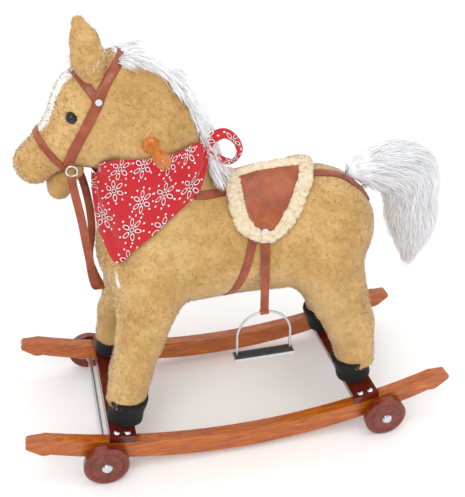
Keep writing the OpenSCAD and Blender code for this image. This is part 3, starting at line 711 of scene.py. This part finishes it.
def body_fur():
    count = many(150000)
    p, n = scatter(skin_v, skin_q, int(count * 1.25))
    keep = keep_clear(p)
    p, n = p[keep][:count], n[keep][:count]
    on_head = np.clip((p[:, 2] - 560) / 60, 0, 1)[:, None]
    flow = A([-0.55, 0, -0.85]) * (1 - on_head) + A([-0.9, 0, 0.25]) * on_head
    flow = flow + 0.5 * np.stack([noise3(p + o, 45) for o in (0, 100, 200)], 1)
    # the tufts on the inner sides of the lower legs are darkened: painted shade between the legs
    pile_piece("body_pile", p, n, flow, 4.4, 1.5, "plush", lean=1.5, blaze_at=blaze_of(p),
               dark=0.9 * painted_leg_shade(p, n))


jp, jn = scatter(jaw_v, jaw_q, 4000)
pile_piece("jaw_pile", jp, jn, np.tile([-0.7, 0, -0.4], (len(jp), 1)), 3.2, 1.3, "plush", "lower_jaw",
           lean=1.5)


def ear(name, node, sgn, spine, radii):
    """A leaf-shaped ear with a hollow face."""
    spine = A(spine, float) * A([1, sgn, 1])

    def f(p):
        d = chain(p, spine, radii, (5, 5), 0.52)
        dish = cone(p, spine[0] + A([4, -9.5 * sgn, 10]), spine[2] + A([1, -9.5 * sgn, 0]), 11, 9, 0.5)
        return -smooth_union(-d, dish, 3)

    v, q = skin_of(f, spine.min(0) - 28, spine.max(0) + 24, 2.5)
    make(name, roughen(v, q, 0.4, 6), q, "plush", attrs={"tint": 0.45 + 0.2 * noise3(v, 5)},
         nodes=(node,))
    p, pn = scatter(v, q, 6000)
    inner = np.clip((-pn[:, 1] * sgn - 0.3) * 2, 0, 1) * (p[:, 2] > spine[0][2] + 12)
    pile_piece(name + "_pile", p, pn, np.tile([0, 0, 1.0], (len(p), 1)), 3.4, 1.2, "plush",
               lean=1.3, blaze_at=inner * 0.6)


ear("left_ear_plush", "left_ear", 1, [(199, 31, 640), (208, 34, 676), (211, 35, 704), (217, 36, 729)],
    (14, 22, 18.5, 9.5))
ear("right_ear_plush", "right_ear", -1, [(199, 31, 640), (205, 36, 663), (207, 41, 680), (210, 45, 696)],
    (13, 18, 14, 8))


def mane_hair():
    crest = polyline([(168, 0, 676), (150, 0, 676), (120, 0, 668), (92, 0, 648), (70, 0, 615), (52, 0, 575),
                      (38, 0, 535), (28, 0, 500), (22, 0, 478)], 200)
    k = many(12000)
    i = rng.integers(0, 199, k)
    root = crest[i] + rng.normal(0, 1, (k, 3)) * A([2, 0, 2])
    along = unit(crest[np.minimum(i + 1, 199)] - crest[np.maximum(i - 1, 0)])
    out = np.stack([-along[:, 2], np.zeros(k), along[:, 0]], 1)
    out = np.where((out[:, 0:1] > 0) & (along[:, 2:3] < -0.2), -out, out)
    out[:, 2] = np.abs(out[:, 2])
    y = rng.uniform(-1, 1, k)
    root[:, 1] = y * 24
    root -= out * (6 + 10 * y**2)[:, None]
    low = np.clip((root[:, 2] - 480) / 200, 0, 1)
    le = rng.uniform(26, 54, k) * (0.8 + 0.2 * low)
    clump = np.stack([noise3(np.stack([i * 1.0, y * 20, np.zeros(k)], 1) + o, 7) for o in (0, 40, 80)], 1)
    aside = y[:, None] * A([0, 1.0, 0])
    d0 = unit(out * 1.1 + along * 0.5 + aside * 1.1 + 0.45 * clump)
    d1 = unit(along * 1.1 + A([-0.15, 0, -0.75]) + aside * 0.9 + 0.5 * clump)
    t = np.linspace(0, 1, 8)[None, :, None]
    le = le[:, None, None]
    pts = root[:, None] + le * (d0[:, None] * (t - 0.5 * t**2) + d1[:, None] * (0.5 * t**2) * 1.2)
    pts += 1.6 * t * rng.normal(0, 1, (k, 1, 3)) + 1.2 * np.sin(t * 7 + rng.random((k, 1, 1)) * 6) * t
    return pts


def push_out(pts, least):
    """Moves hair that would lie inside the plush out to its surface."""
    flat = pts.reshape(-1, 3)
    d = body_field(flat)
    bad = d < least
    g = unit(gradient(body_field, flat[bad]))
    flat[bad] += g * (least - d[bad])[:, None]
    return flat.reshape(pts.shape)


curls("mane_hair", push_out(mane_hair(), 2.0), 1.3, "mane")


def forelock_hair():
    k = many(1500)
    root = np.stack([rng.uniform(178, 214, k), rng.normal(0, 9, k), np.full(k, 668.0)], 1)
    q, _ = on_skin(root)
    y = (q[:, 1] / 12)[:, None]
    d0 = unit(A([0.5, 0, 0.8]) + A([0, 0.7, 0]) * y + rng.normal(0, 0.25, (k, 3)))
    d1 = unit(A([0.95, 0, -0.7]) + A([0, 0.5, 0]) * y + rng.normal(0, 0.25, (k, 3)))
    t = np.linspace(0, 1, 7)[None, :, None]
    le = rng.uniform(22, 44, k)[:, None, None]
    return q[:, None] + le * (d0[:, None] * (t - 0.5 * t**2) + d1[:, None] * 0.6 * t**2)


curls("forelock_hair", push_out(forelock_hair(), 1.0), 1.2, "forelock")


# tail
SPINE = polyline([(-203, 0, 444, 9), (-222, 0, 448, 24), (-248, 0, 450, 37), (-284, 0, 448, 48),
                  (-316, 0, 434, 54), (-328, 0, 388, 50), (-335, 0, 342, 46), (-338, 0, 304, 34),
                  (-337, 0, 276, 17), (-335, 0, 254, 4)], 100)  # x, y, z and the radius there
TAIL, TAIL_R = SPINE[:, :3], SPINE[:, 3]


def tail_hair():
    k = many(15000)
    t0 = rng.beta(0.9, 1.5, k) * 0.84
    t1 = np.clip(t0 + rng.uniform(0.14, 0.34, k), 0, 1)
    ang = rng.uniform(0, 2 * np.pi, k)
    depth0, depth1 = rng.uniform(0.3, 0.8, k), np.sqrt(rng.uniform(0.4, 1.08, k))
    t = np.linspace(0, 1, 9)[None, :]
    s = t0[:, None] + (t1 - t0)[:, None] * t
    idx = s * 99
    c = np.stack([np.interp(idx, np.arange(100), TAIL[:, j]) for j in range(3)], -1)
    r = np.interp(idx, np.arange(100), TAIL_R) * (depth0[:, None] + (depth1 - depth0)[:, None] * t**0.7)
    tan = unit(np.gradient(c, axis=1) + 1e-6)
    up = unit(np.stack([-tan[..., 2], np.zeros_like(tan[..., 0]), tan[..., 0]], -1))
    swirl = ang[:, None] + 0.5 * (t - 0.5) * rng.normal(0, 1, (k, 1))
    pts = c + up * (r * np.cos(swirl))[..., None] + A([0, 1, 0]) * (r * np.sin(swirl) * 0.85)[..., None]
    drop = 9 * (t**2)[..., None] * A([0, 0, -1]) * rng.uniform(0, 1, (k, 1, 1))
    wisp = (t**2)[..., None] * rng.normal(0, 3.6, (k, 1, 3))
    return pts + drop + wisp


curls("tail_hair", tail_hair(), 1.5, "tail", "tail")


def tail_core(p):
    at = [*range(6, 96, 9), 96]
    return chain(p, TAIL[at], np.maximum(TAIL_R[at] * 0.78, 3), [6] * 9, 0.85)


tv, tq = skin_of(tail_core, (-392, -60, 235), (-205, 60, 510), 4)
make("tail_core", roughen(tv, tq, 1.5, 9), tq, "hair_core", "tail")


def mane_core(p):
    crest = [(150, 0, 652), (112, 0, 650), (72, 0, 590), (44, 0, 520), (34, 0, 490)]
    return chain(p, crest, (30, 34, 32, 26, 20), (8, 8, 8))


cv, cq = skin_of(mane_core, (-5, -60, 455), (195, 60, 700), 4)
make("mane_core", roughen(cv, cq, 1.5, 9), cq, "hair_core")


# ---------------------------------------------------------------- straps
def ribbon(name, centre, normal, width, thick, lift, hug=None, nodes=()):
    """A leather strap with rounded edges along a centre line. hug(points) settles each row on a surface."""
    c, n = A(centre, float), unit(A(normal, float))
    tan = unit(np.gradient(c, axis=0))
    across = unit(np.cross(tan, n))
    cols = A([-0.5, -0.47, -0.36, -0.18, 0, 0.18, 0.36, 0.47, 0.5])
    high = A([0.45, 0.85, 1, 1, 1, 1, 1, 0.85, 0.45])
    rows = c[:, None] + across[:, None] * (cols * width)[None, :, None]
    nor = np.repeat(n[:, None], len(cols), 1)
    if hug is not None:
        flat, hn = hug(rows.reshape(-1, 3))
        rows = flat.reshape(rows.shape)
        nor = unit(nor + 0.5 * hn.reshape(rows.shape))
    top = rows + nor * (lift + thick * high)[None, :, None]
    low = rows + nor * (lift - 0.2)
    m, k = len(c), len(cols)
    ring = np.concatenate([top, low[:, ::-1]], 1)
    verts = ring.reshape(-1, 3)
    w = 2 * k
    quads = grid(m, w, close_cols=True)[:, TURNED]
    caps = []
    for r0, flip in ((0, False), ((m - 1) * w, True)):
        for j in range(k - 1):
            q = [r0 + j, r0 + j + 1, r0 + 2 * k - 2 - j, r0 + 2 * k - 1 - j]
            caps.append(q[::-1] if flip else q)
    s = arc_length(c)
    uv = np.stack([np.tile(np.concatenate([cols, cols[::-1]]) + 0.5, m), np.repeat(s, w) * 0.01], 1)
    return make(name, verts, np.concatenate([quads, A(caps)]), "strap", uv=uv, nodes=nodes)


def strap(name, points, width, thick, lift, n=90, nodes=()):
    """A strap that lies on the plush along a rough line of points."""
    line = polyline(points, n)
    c, nor = on_skin(line)
    for _ in range(6):
        c[1:-1] = (c[:-2] + 2 * c[1:-1] + c[2:]) / 4
        nor[1:-1] = (nor[:-2] + 2 * nor[1:-1] + nor[2:]) / 4
    c, _ = on_skin(c)
    STRAPS.append((c, width / 2))
    ribbon(name, c, nor, width, thick, lift, on_skin, nodes)


def plane_path(x, z, angle, a0, a1, n=70, about=(0, 0)):
    """Points round the head in a plane through (x, z) whose normal leans by angle, from a0 to a1 degrees."""
    cx, cz = about
    ca, sa = math.cos(math.radians(angle)), math.sin(math.radians(angle))
    up = A([-sa, 0, ca])
    centre = A([cx, 0, cz], float)
    centre = centre - A([ca, 0, sa]) * ((centre - A([x, 0, z])) @ A([ca, 0, sa]))
    out = []
    for a in np.radians(np.linspace(a0, a1, n)):
        d = A([0, math.sin(a), 0]) + up * math.cos(a)
        hit, _, _, _ = BODY.ray_cast(Vector((centre + d * 140) * MM), Vector(-d))
        out.append(A(hit) / MM if hit is not None else centre + d * 50)
    return A(out)


def both_sides(near, *, middle):
    """A path over the head: the near points given, from the middle outwards, and their mirror."""
    far = [(x, -y, z) for x, y, z in reversed(near)]
    return [*far, middle, *near]


strap("noseband_strap", plane_path(271, 538, -34, -180, 180, 110, (262, 540)), 11, 2.2, lift=0.8,
      nodes=("noseband",))
strap("crown_strap", both_sides([(167, 30, 668), (183, 43, 650), (193, 46, 635), (200, 50, 620), (210, 52, 603),
                                 (220, 50, 585), (231, 48, 565), (241, 43, 547), (249, 34, 528),
                                 (252, 31, 517)], middle=(156, 0, 678)), 15, 2.2, lift=0.5, n=130,
      nodes=("cheek_strap",))
strap("brow_strap", both_sides([(225, 15, 653), (216, 34, 644), (207, 46, 631), (201, 50, 621)],
                               middle=(229, 0, 655)), 13, 1.8, lift=0.2, nodes=("browband",))
strap("rump_strap", [(-112, 6, 455), (-138, 9, 454), (-157, 13, 455), (-192, 16, 447), (-204, 20, 440),
                     (-219, 21, 429), (-234, 21, 416), (-242, 20, 405)], 20, 2.6, lift=0.8,
      nodes=("crupper_strap",))


def girth_points():
    out = []
    for a in np.radians(np.linspace(58, 302, 60)):
        y, z = 100 * math.sin(a), BARREL_Z + 100 * math.cos(a)
        out.append((4 - (z - 310) * math.tan(math.radians(15)), y, z))
    return out


strap("girth_band", girth_points(), 14, 2.2, lift=0.6, n=160, nodes=("girth_strap",))
for side, s in (("left", 1), ("right", -1)):
    path = [(4, s * 27, 448), (20, s * 33, 450), (36, s * 41, 452), (51, s * 48, 455), (66, s * 54, 460)]
    strap(f"breast_band_{side}", path, 14, 2.2, lift=0.8, n=40, nodes=("breast_strap",) if s == 1 else ())


def handle(side, sgn):
    """A turned hand peg, leaning back a little as it leaves the neck."""
    prof = polyline([(0.0, 13.2), (3, 13.8), (8, 13.0), (13, 10.6), (20, 9.6), (34, 10.2), (46, 11.4),
                     (56, 11.8), (63, 10.6), (67.5, 7.4), (69.6, 3.5), (70.2, 0.3)], 60)
    base, tip = A([131, 56, 552.0]), A([119, 127, 547.0])
    axis = unit(tip - base)
    u = unit(np.cross(axis, A([0, 0, 1.0])))
    w = np.cross(axis, u)
    a = turn(40)
    v = (base + axis * prof[:, 0][:, None, None] + u * (prof[:, 1][:, None] * np.cos(a))[..., None]
         + w * (prof[:, 1][:, None] * np.sin(a))[..., None]).reshape(-1, 3)
    q = grid(60, 40, close_cols=True)
    if sgn > 0:
        q = q[:, ::-1]
    make(f"turned_handle_{side}", v * A([1, sgn, 1]), q, "handle_wood", nodes=(f"{side}_handle",))


handle("left", 1)
handle("right", -1)

# The reins are one flat strap, on the CAD solid's route and carried up to the bridle rings.
half = [(248.5, 45, 508), (248, 45, 496), (246, 45, 478), (243, 44, 456), (240, 42, 430), (238, 40, 404),
        (236, 38, 378), (234, 36, 354), (233, 34, 332), (231, 30, 314), (228, 25, 300), (223, 17, 290),
        (220, 9, 285)]
far_half = [(220, -9, 285), (223, -17, 290), (227, -25, 300), (230.5, -30, 314), (230, -34, 332),
            (225, -36, 354), (222, -37, 378), (222, -38, 404), (224, -40, 430), (228, -42, 456),
            (234, -44, 478), (242, -45, 496), (246, -45, 508)]
route = A([*half, (219, 0, 283), *far_half], float)
rein_line = polyline(route, 140)
rein_tan = unit(np.gradient(rein_line, axis=0))
rein_out = unit(np.cross(rein_tan, np.tile([1.0, 0, 0], (140, 1))))
reins = ribbon("rein_strap", rein_line, rein_out, 13, 2.4, -1.2, nodes=("reins",))


# ---------------------------------------------------------------- saddle
def saddle_edge(s):
    """Front and rear x of the leather's outline at arc length s from the ridge."""
    at = [0, 25, 38, 50, 67, 80, 90, 102, 108, 112, SADDLE_FOOT]
    return (np.interp(s, at, [-14, -13, -12, -11, -10, -11, -13, -19, -25, -33, -41]),
            np.interp(s, at, [-121, -113, -106, -98, -88, -79, -70, -62, -57, -51, -41]))


def seat_rise(x, s):
    """How far the padding lifts the saddle over the barrel."""
    high = np.interp(x, [-135, -118, -95, -65, -40, -20, -5], [15, 16, 16, 15, 12, 7, 3])
    return high * np.exp(-((s / 40.0) ** 2))


def barrel(x, s, h):
    """The point at x, at signed arc length s round the barrel, at height h over radius 98."""
    phi = s / SADDLE_R
    return np.stack([x, (BARREL_R + h) * np.sin(phi), BARREL_Z + (BARREL_R + h) * np.cos(phi)], -1)


def panel(side):
    """One leather panel, from beside the ridge down to its rounded foot."""
    ns, nx = 100, 61
    s = np.linspace(8, SADDLE_FOOT, ns)
    u = np.linspace(0, 1, nx)
    front, rear = saddle_edge(s)
    x = rear[:, None] + (front - rear)[:, None] * u[None]
    ss = np.repeat(s[:, None], nx, 1)
    inset = np.minimum(np.minimum(u, 1 - u)[None] * (front - rear)[:, None], np.minimum(SADDLE_FOOT - ss, ss - 8))
    edge = 1 - np.exp(-np.maximum(inset, 0) / 1.4)
    groove = 0.5 * np.exp(-((inset - 4) / 0.8) ** 2)
    top = 6.2 + edge * 2.6 - groove + seat_rise(x, ss) + 0.25 * noise3(
        np.stack([x, ss, 0 * x], -1).reshape(-1, 3), 22).reshape(x.shape)
    ss = ss * side
    up, low = barrel(x, ss, top), barrel(x, ss, np.full_like(x, 5.4))
    verts = np.concatenate([up.reshape(-1, 3), low.reshape(-1, 3)])
    k = ns * nx
    quads = [grid(ns, nx), grid(ns, nx)[:, TURNED] + k]
    ring = np.concatenate([np.arange(nx), np.arange(1, ns) * nx + nx - 1,
                           (ns - 1) * nx + np.arange(nx - 2, -1, -1), np.arange(ns - 2, 0, -1) * nx])
    nxt = np.roll(ring, -1)
    quads.append(np.stack([ring, ring + k, nxt + k, nxt], 1))
    quads = np.concatenate(quads)
    return verts, quads if side > 0 else quads[:, ::-1]


def saddle():
    near, q = panel(1)
    far, fq = panel(-1)
    o = make("saddle_leather", np.concatenate([near, far]), np.concatenate([q, fq + len(near)]), "leather",
             nodes=("saddle_seat", "saddle_flaps"))


saddle()


def outline_loop():
    """The closed outline of both panels together, evenly spaced and with its corners rounded."""
    s = np.linspace(0, SADDLE_FOOT, 120)
    front, rear = saddle_edge(s)
    half_loop = np.stack([np.concatenate([front, rear[::-1]]), np.concatenate([s, s[::-1]])], 1)
    pts = np.concatenate([half_loop, (half_loop * A([1, -1]))[::-1]])
    for _ in range(2):
        closed = np.vstack([pts, pts[:1]])
        d = arc_length(closed)
        at = np.linspace(0, d[-1], 720, endpoint=False)
        pts = np.stack([np.interp(at, d, closed[:, k]) for k in range(2)], 1)
        for _ in range(12):
            pts = (np.roll(pts, 1, 0) + 2 * pts + np.roll(pts, -1, 0)) / 4
    return pts


def wool(name, v, q, nodes=()):
    """Roughens a smooth roll into fleece and grows its pile. Returns the roll."""
    n = normals_of(v, q)
    v = v + n * (1.5 * noise3(v, 5.0) + 0.9 * noise3(v + 70, 2.6))[:, None]
    o = make(name + "_roll", v, q, "fleece", nodes=nodes)
    p, pn = scatter(v, q, many(len(v)))
    pile_piece(name + "_pile", p, pn, rng.normal(0, 1, (len(p), 3)), 2.8, 1.3, "fleece", lean=1.2)
    return o


def fleece():
    pts = outline_loop()
    tan = unit(np.roll(pts, -1, 0) - np.roll(pts, 1, 0))
    out = np.stack([tan[:, 1], -tan[:, 0]], 1)
    if ((pts - A([-60.0, 0.0])) * out).sum() < 0:
        out = -out
    m, k = len(pts), 32
    a = turn(k)
    low_part = np.clip((np.abs(pts[:, 1]) - 95) / 15, 0, 1)
    width = 23.5 + 2.5 * np.clip(out[:, 0], 0, 1) - 5.5 * low_part
    off = -2.5 + width[:, None] * (0.5 + 0.5 * np.cos(a))[None]
    flat = pts[:, None] + out[:, None] * off[..., None]
    upper = np.clip(np.sin(a) + 1, 0, 1)
    rise = 6.6 + 6.0 * np.sin(a)[None] + seat_rise(pts[:, 0], pts[:, 1])[:, None] * upper[None]
    swing = (np.abs(flat[..., 1]) > 85) & (flat[..., 0] > -66) & (flat[..., 0] < -6)
    rise = np.where(swing, np.maximum(rise, 6.2), rise)
    v = barrel(flat[..., 0], flat[..., 1], rise).reshape(-1, 3)
    q = grid(m, k, close_rows=True, close_cols=True)
    if ((v - A([-60, 0, BARREL_Z])) * normals_of(v, q))[:, 1:].sum() < 0:
        q = q[:, ::-1]
    o = wool("fleece", v, q, ("fleece_trim",))
    # the ridge between the two leather panels
    x = np.linspace(-128, -8, 90)
    r = 9.5 * np.sqrt(np.clip(1 - ((x + 68) / 63) ** 8, 0.02, 1))
    a = turn(24)
    s = r[:, None] * 1.05 * np.sin(a)
    h = (6.0 + seat_rise(x, 0 * x))[:, None] + r[:, None] * 0.75 * np.cos(a)
    v = barrel(np.repeat(x[:, None], 24, 1), s, h).reshape(-1, 3)
    q = grid(90, 24, close_cols=True)[:, TURNED]
    if ((v - A([-68, 0, 372])) * normals_of(v, q))[:, 1:].sum() < 0:
        q = q[:, ::-1]
    wool("fleece_ridge", v, q)


fleece()
body_fur()


# ---------------------------------------------------------------- bandana
def bandana():
    """A folded square, worn with its point down the chest side and tied behind the neck."""
    nu, nv = 120, 80
    u = np.linspace(0, 1, nu)
    v = np.linspace(0, 1, nv)
    top = polyline([(206, 30, 520), (203, 50, 530), (171, 54, 532), (136, 65, 534), (90, 62, 539),
                    (62, 48, 545), (45, 34, 532)], nu)
    # the free edge goes from the front of the top edge, down to the point, and up to the back
    low = polyline([(216, 8, 500), (217, 11, 450), (215, 24, 415), (208, 52, 392), (197, 86, 374),
                    (162, 90, 401), (129, 86, 424), (95, 74, 446), (62, 59, 467), (53, 51, 481),
                    (45, 42, 502), (41, 36, 520)], nu)
    p = top[:, None] * (1 - v)[None, :, None] + low[:, None] * v[None, :, None]
    flat = p.reshape(-1, 3)
    for _ in range(2):
        d = body_field(flat)
        g = unit(gradient(body_field, flat))
        want = 3.0 + 5.0 * np.sin(np.pi * np.tile(v, nu))
        flat = flat + g * (np.maximum(want - d, 0) - 0.55 * np.maximum(d - want - 6, 0))[:, None]
    p = flat.reshape(p.shape)
    uu, vv = np.meshgrid(u, v, indexing="ij")
    g = unit(gradient(body_field, p.reshape(-1, 3))).reshape(p.shape)
    fold = (2.6 * np.sin(uu * 22 + 5 * vv) * np.sin(np.pi * vv)
            + 2.0 * np.sin(vv * 17 - 9 * uu) * (0.3 + 0.7 * vv)
            + 1.6 * noise3(p.reshape(-1, 3), 20).reshape(uu.shape))
    p = p + g * (fold * np.clip(np.minimum(vv, 1.05 - vv) * 6, 0.15, 1) + 2.0)[..., None]
    return p


def cloth_piece(name, p, nodes=()):
    """A sheet of cloth from a grid of points, with flat-cloth coordinates in metres."""
    uv = lengths_uv(p)
    o = make(name, p.reshape(-1, 3), grid(*p.shape[:2]), "cloth", uv=uv.reshape(-1, 2), nodes=nodes)


def lengths_uv(p):
    """Flat-cloth coordinates in metres, measured along the grid itself."""
    du = np.cumsum(np.linalg.norm(np.diff(p, axis=0, prepend=p[:1]), axis=-1), 0)
    dv = np.cumsum(np.linalg.norm(np.diff(p, axis=1, prepend=p[:, :1]), axis=-1), 1)
    return np.stack([du.mean(1)[:, None] * np.ones_like(du), dv], -1) * MM


bandana_grid = bandana()
cloth_piece("bandana_cloth", bandana_grid, nodes=("bandana",))


def band_strip(name, line, width_mm):
    """A gathered strip of the same cloth, from the neck's side round to the knot."""
    c = polyline(line, 70)
    tan = unit(np.gradient(c, axis=0))
    g = unit(gradient(body_field, c))
    across = unit(np.cross(tan, g))
    w = np.linspace(-0.5, 0.5, 26)
    rib = np.sin(w * 26 + 1)
    p = (c[:, None] + across[:, None] * (w * width_mm)[None, :, None]
         + g[:, None] * (3.0 + rib + 3 * (0.25 - w**2))[None, :, None])
    flat = p.reshape(-1, 3)
    d = body_field(flat)
    gg = unit(gradient(body_field, flat))
    flat = flat + gg * np.maximum(2.2 - d, 0)[:, None]
    p = flat.reshape(p.shape)
    cloth_piece(name, p)


band_strip("bandana_far_band", [(214, -8, 508), (196, -44, 520), (166, -56, 524), (132, -63, 530),
                                (92, -60, 534), (50, -36, 530), (34, -14, 528)], 34)


def knot_loop():
    """The tied end: a ribbon loop that stands out behind the neck."""
    line = polyline([(46, 40, 528), (36, 42, 545), (16, 42, 552), (-2, 38, 538), (-10, 34, 516), (2, 32, 500),
                     (22, 34, 508), (42, 38, 522)], 90)
    w = np.linspace(-0.5, 0.5, 14)
    tan = unit(np.gradient(line, axis=0))
    across = unit(np.stack([-tan[:, 2], 0.75 * np.ones(90), tan[:, 0] + 0.25], 1))
    p = line[:, None] + across[:, None] * (w * 17)[None, :, None]
    p = p + (0.8 * np.sin(w * 16))[None, :, None] * A([0, 1, 0])
    cloth_piece("bandana_loop", p)


knot_loop()


# ---------------------------------------------------------------- hooves
def hooves():
    verts, faces, count = [], [], 0
    for side in (1, -1):
        for front in (True, False):
            tilt = TILT if front else -TILT
            up = A([-math.sin(tilt), 0, math.cos(tilt)])
            fwd = A([math.cos(tilt), 0, math.sin(tilt)])
            lean = math.sin(tilt)
            front_base = A([207 - 14 * lean, side * 95, 79.74 - 9 * lean])
            base = front_base if front else A([-216 - 14 * lean, side * 80, 79.74])
            a = turn(48)
            prof = [(0, 0.2), (27.5, 0.2), (29.8, 1.6), (30.4, 6), (30.0, 14), (30.2, 22), (31.6, 30),
                    (33.4, 38), (34.2, 43), (33.4, 46), (30.5, 47.5), (24, 47.8)]
            ring = []
            for r, h in prof:
                rr = r + (0.5 * np.sin(3 * a + h * 0.2) if r > 20 else 0 * a)
                across = A([0, 1, 0]) * (rr * np.sin(a))[:, None]
                ring.append(base + up * h + fwd * (rr * np.cos(a))[:, None] + across)
            v = np.concatenate(ring)
            q = grid(len(prof), 48, close_cols=True)
            verts.append(v + 0.5 * np.stack([noise3(v, 7)] * 3, 1) * A([1, 1, 0]))
            faces.append(q + count)
            count += len(v)
    v, q = np.concatenate(verts), np.concatenate(faces)
    make("hoof_covers", v, q, "black_fabric", nodes=("hooves",))
    p, n = scatter(v, q, many(9000))
    pile_piece("hoof_pile", p, n, np.tile([0, 0, -1.0], (len(p), 1)), 2.2, 1.1, "black_fabric")


hooves()


# ---------------------------------------------------------------- stage and light
def add_stage():
    bpy.ops.mesh.primitive_plane_add(size=12, location=(0, 0, 0))
    floor = bpy.context.object
    floor.name = "studio_floor"
    n = Nodes("studio_white")
    f = n.noise(1.2, 2)
    n.set(Base_Color=n.ramp(f, (0.3, 0.985), (0.7, 1.0)), Roughness=0.9, Specular_IOR_Level=0.1)
    floor.data.materials.append(n.mat)
    world = bpy.data.worlds.new("studio")
    bpy.context.scene.world = world
    world.use_nodes = True
    bg = world.node_tree.nodes["Background"]
    bg.inputs[0].default_value = (1, 1, 1, 1)
    bg.inputs[1].default_value = 0.98
    for name, at, size, power in (("key", (0.9, 1.6, 1.9), 1.2, 13), ("fill", (-1.6, 1.2, 1.2), 2.0, 3),
                                  ("top", (0, 0.2, 2.4), 1.6, 6)):
        lamp = bpy.data.lights.new(name, "AREA")
        lamp.shape, lamp.size, lamp.energy = "DISK", size, power
        o = bpy.data.objects.new(name, lamp)
        bpy.context.scene.collection.objects.link(o)
        o.location = at
        o.rotation_mode = "QUATERNION"
        o.rotation_quaternion = (Vector((0, 0, 0.35)) - Vector(at)).to_track_quat("-Z", "Y")
    bpy.context.scene.view_settings.view_transform = "Standard"


add_stage()


# ---------------------------------------------------------------- stirrup treads
def tread_pad(side):
    """A ribbed rubber pad on the flat tread."""
    x = np.linspace(-50, 50, 201)
    y = np.linspace(-9.5, 9.5, 9)
    xx, yy = np.meshgrid(x, y, indexing="ij")
    edge = np.minimum(50 - np.abs(xx), 9.5 - np.abs(yy))
    z = 0.15 + 1.5 * np.clip(edge, 0, 1) + 0.5 * np.sign(np.sin(xx * 1.57)) * (edge > 1.4)
    low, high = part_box(f"{side}_stirrup_iron")
    cy = (low[1] + high[1]) / 2 / MM
    v = np.stack([xx - 36, yy + cy, z + 175.0], -1).reshape(-1, 3)
    make(f"tread_pad_{side}", v, grid(201, 9)[:, TURNED], "rubber", f"{side}_stirrup_iron", smooth=False)


tread_pad("left")
tread_pad("right")
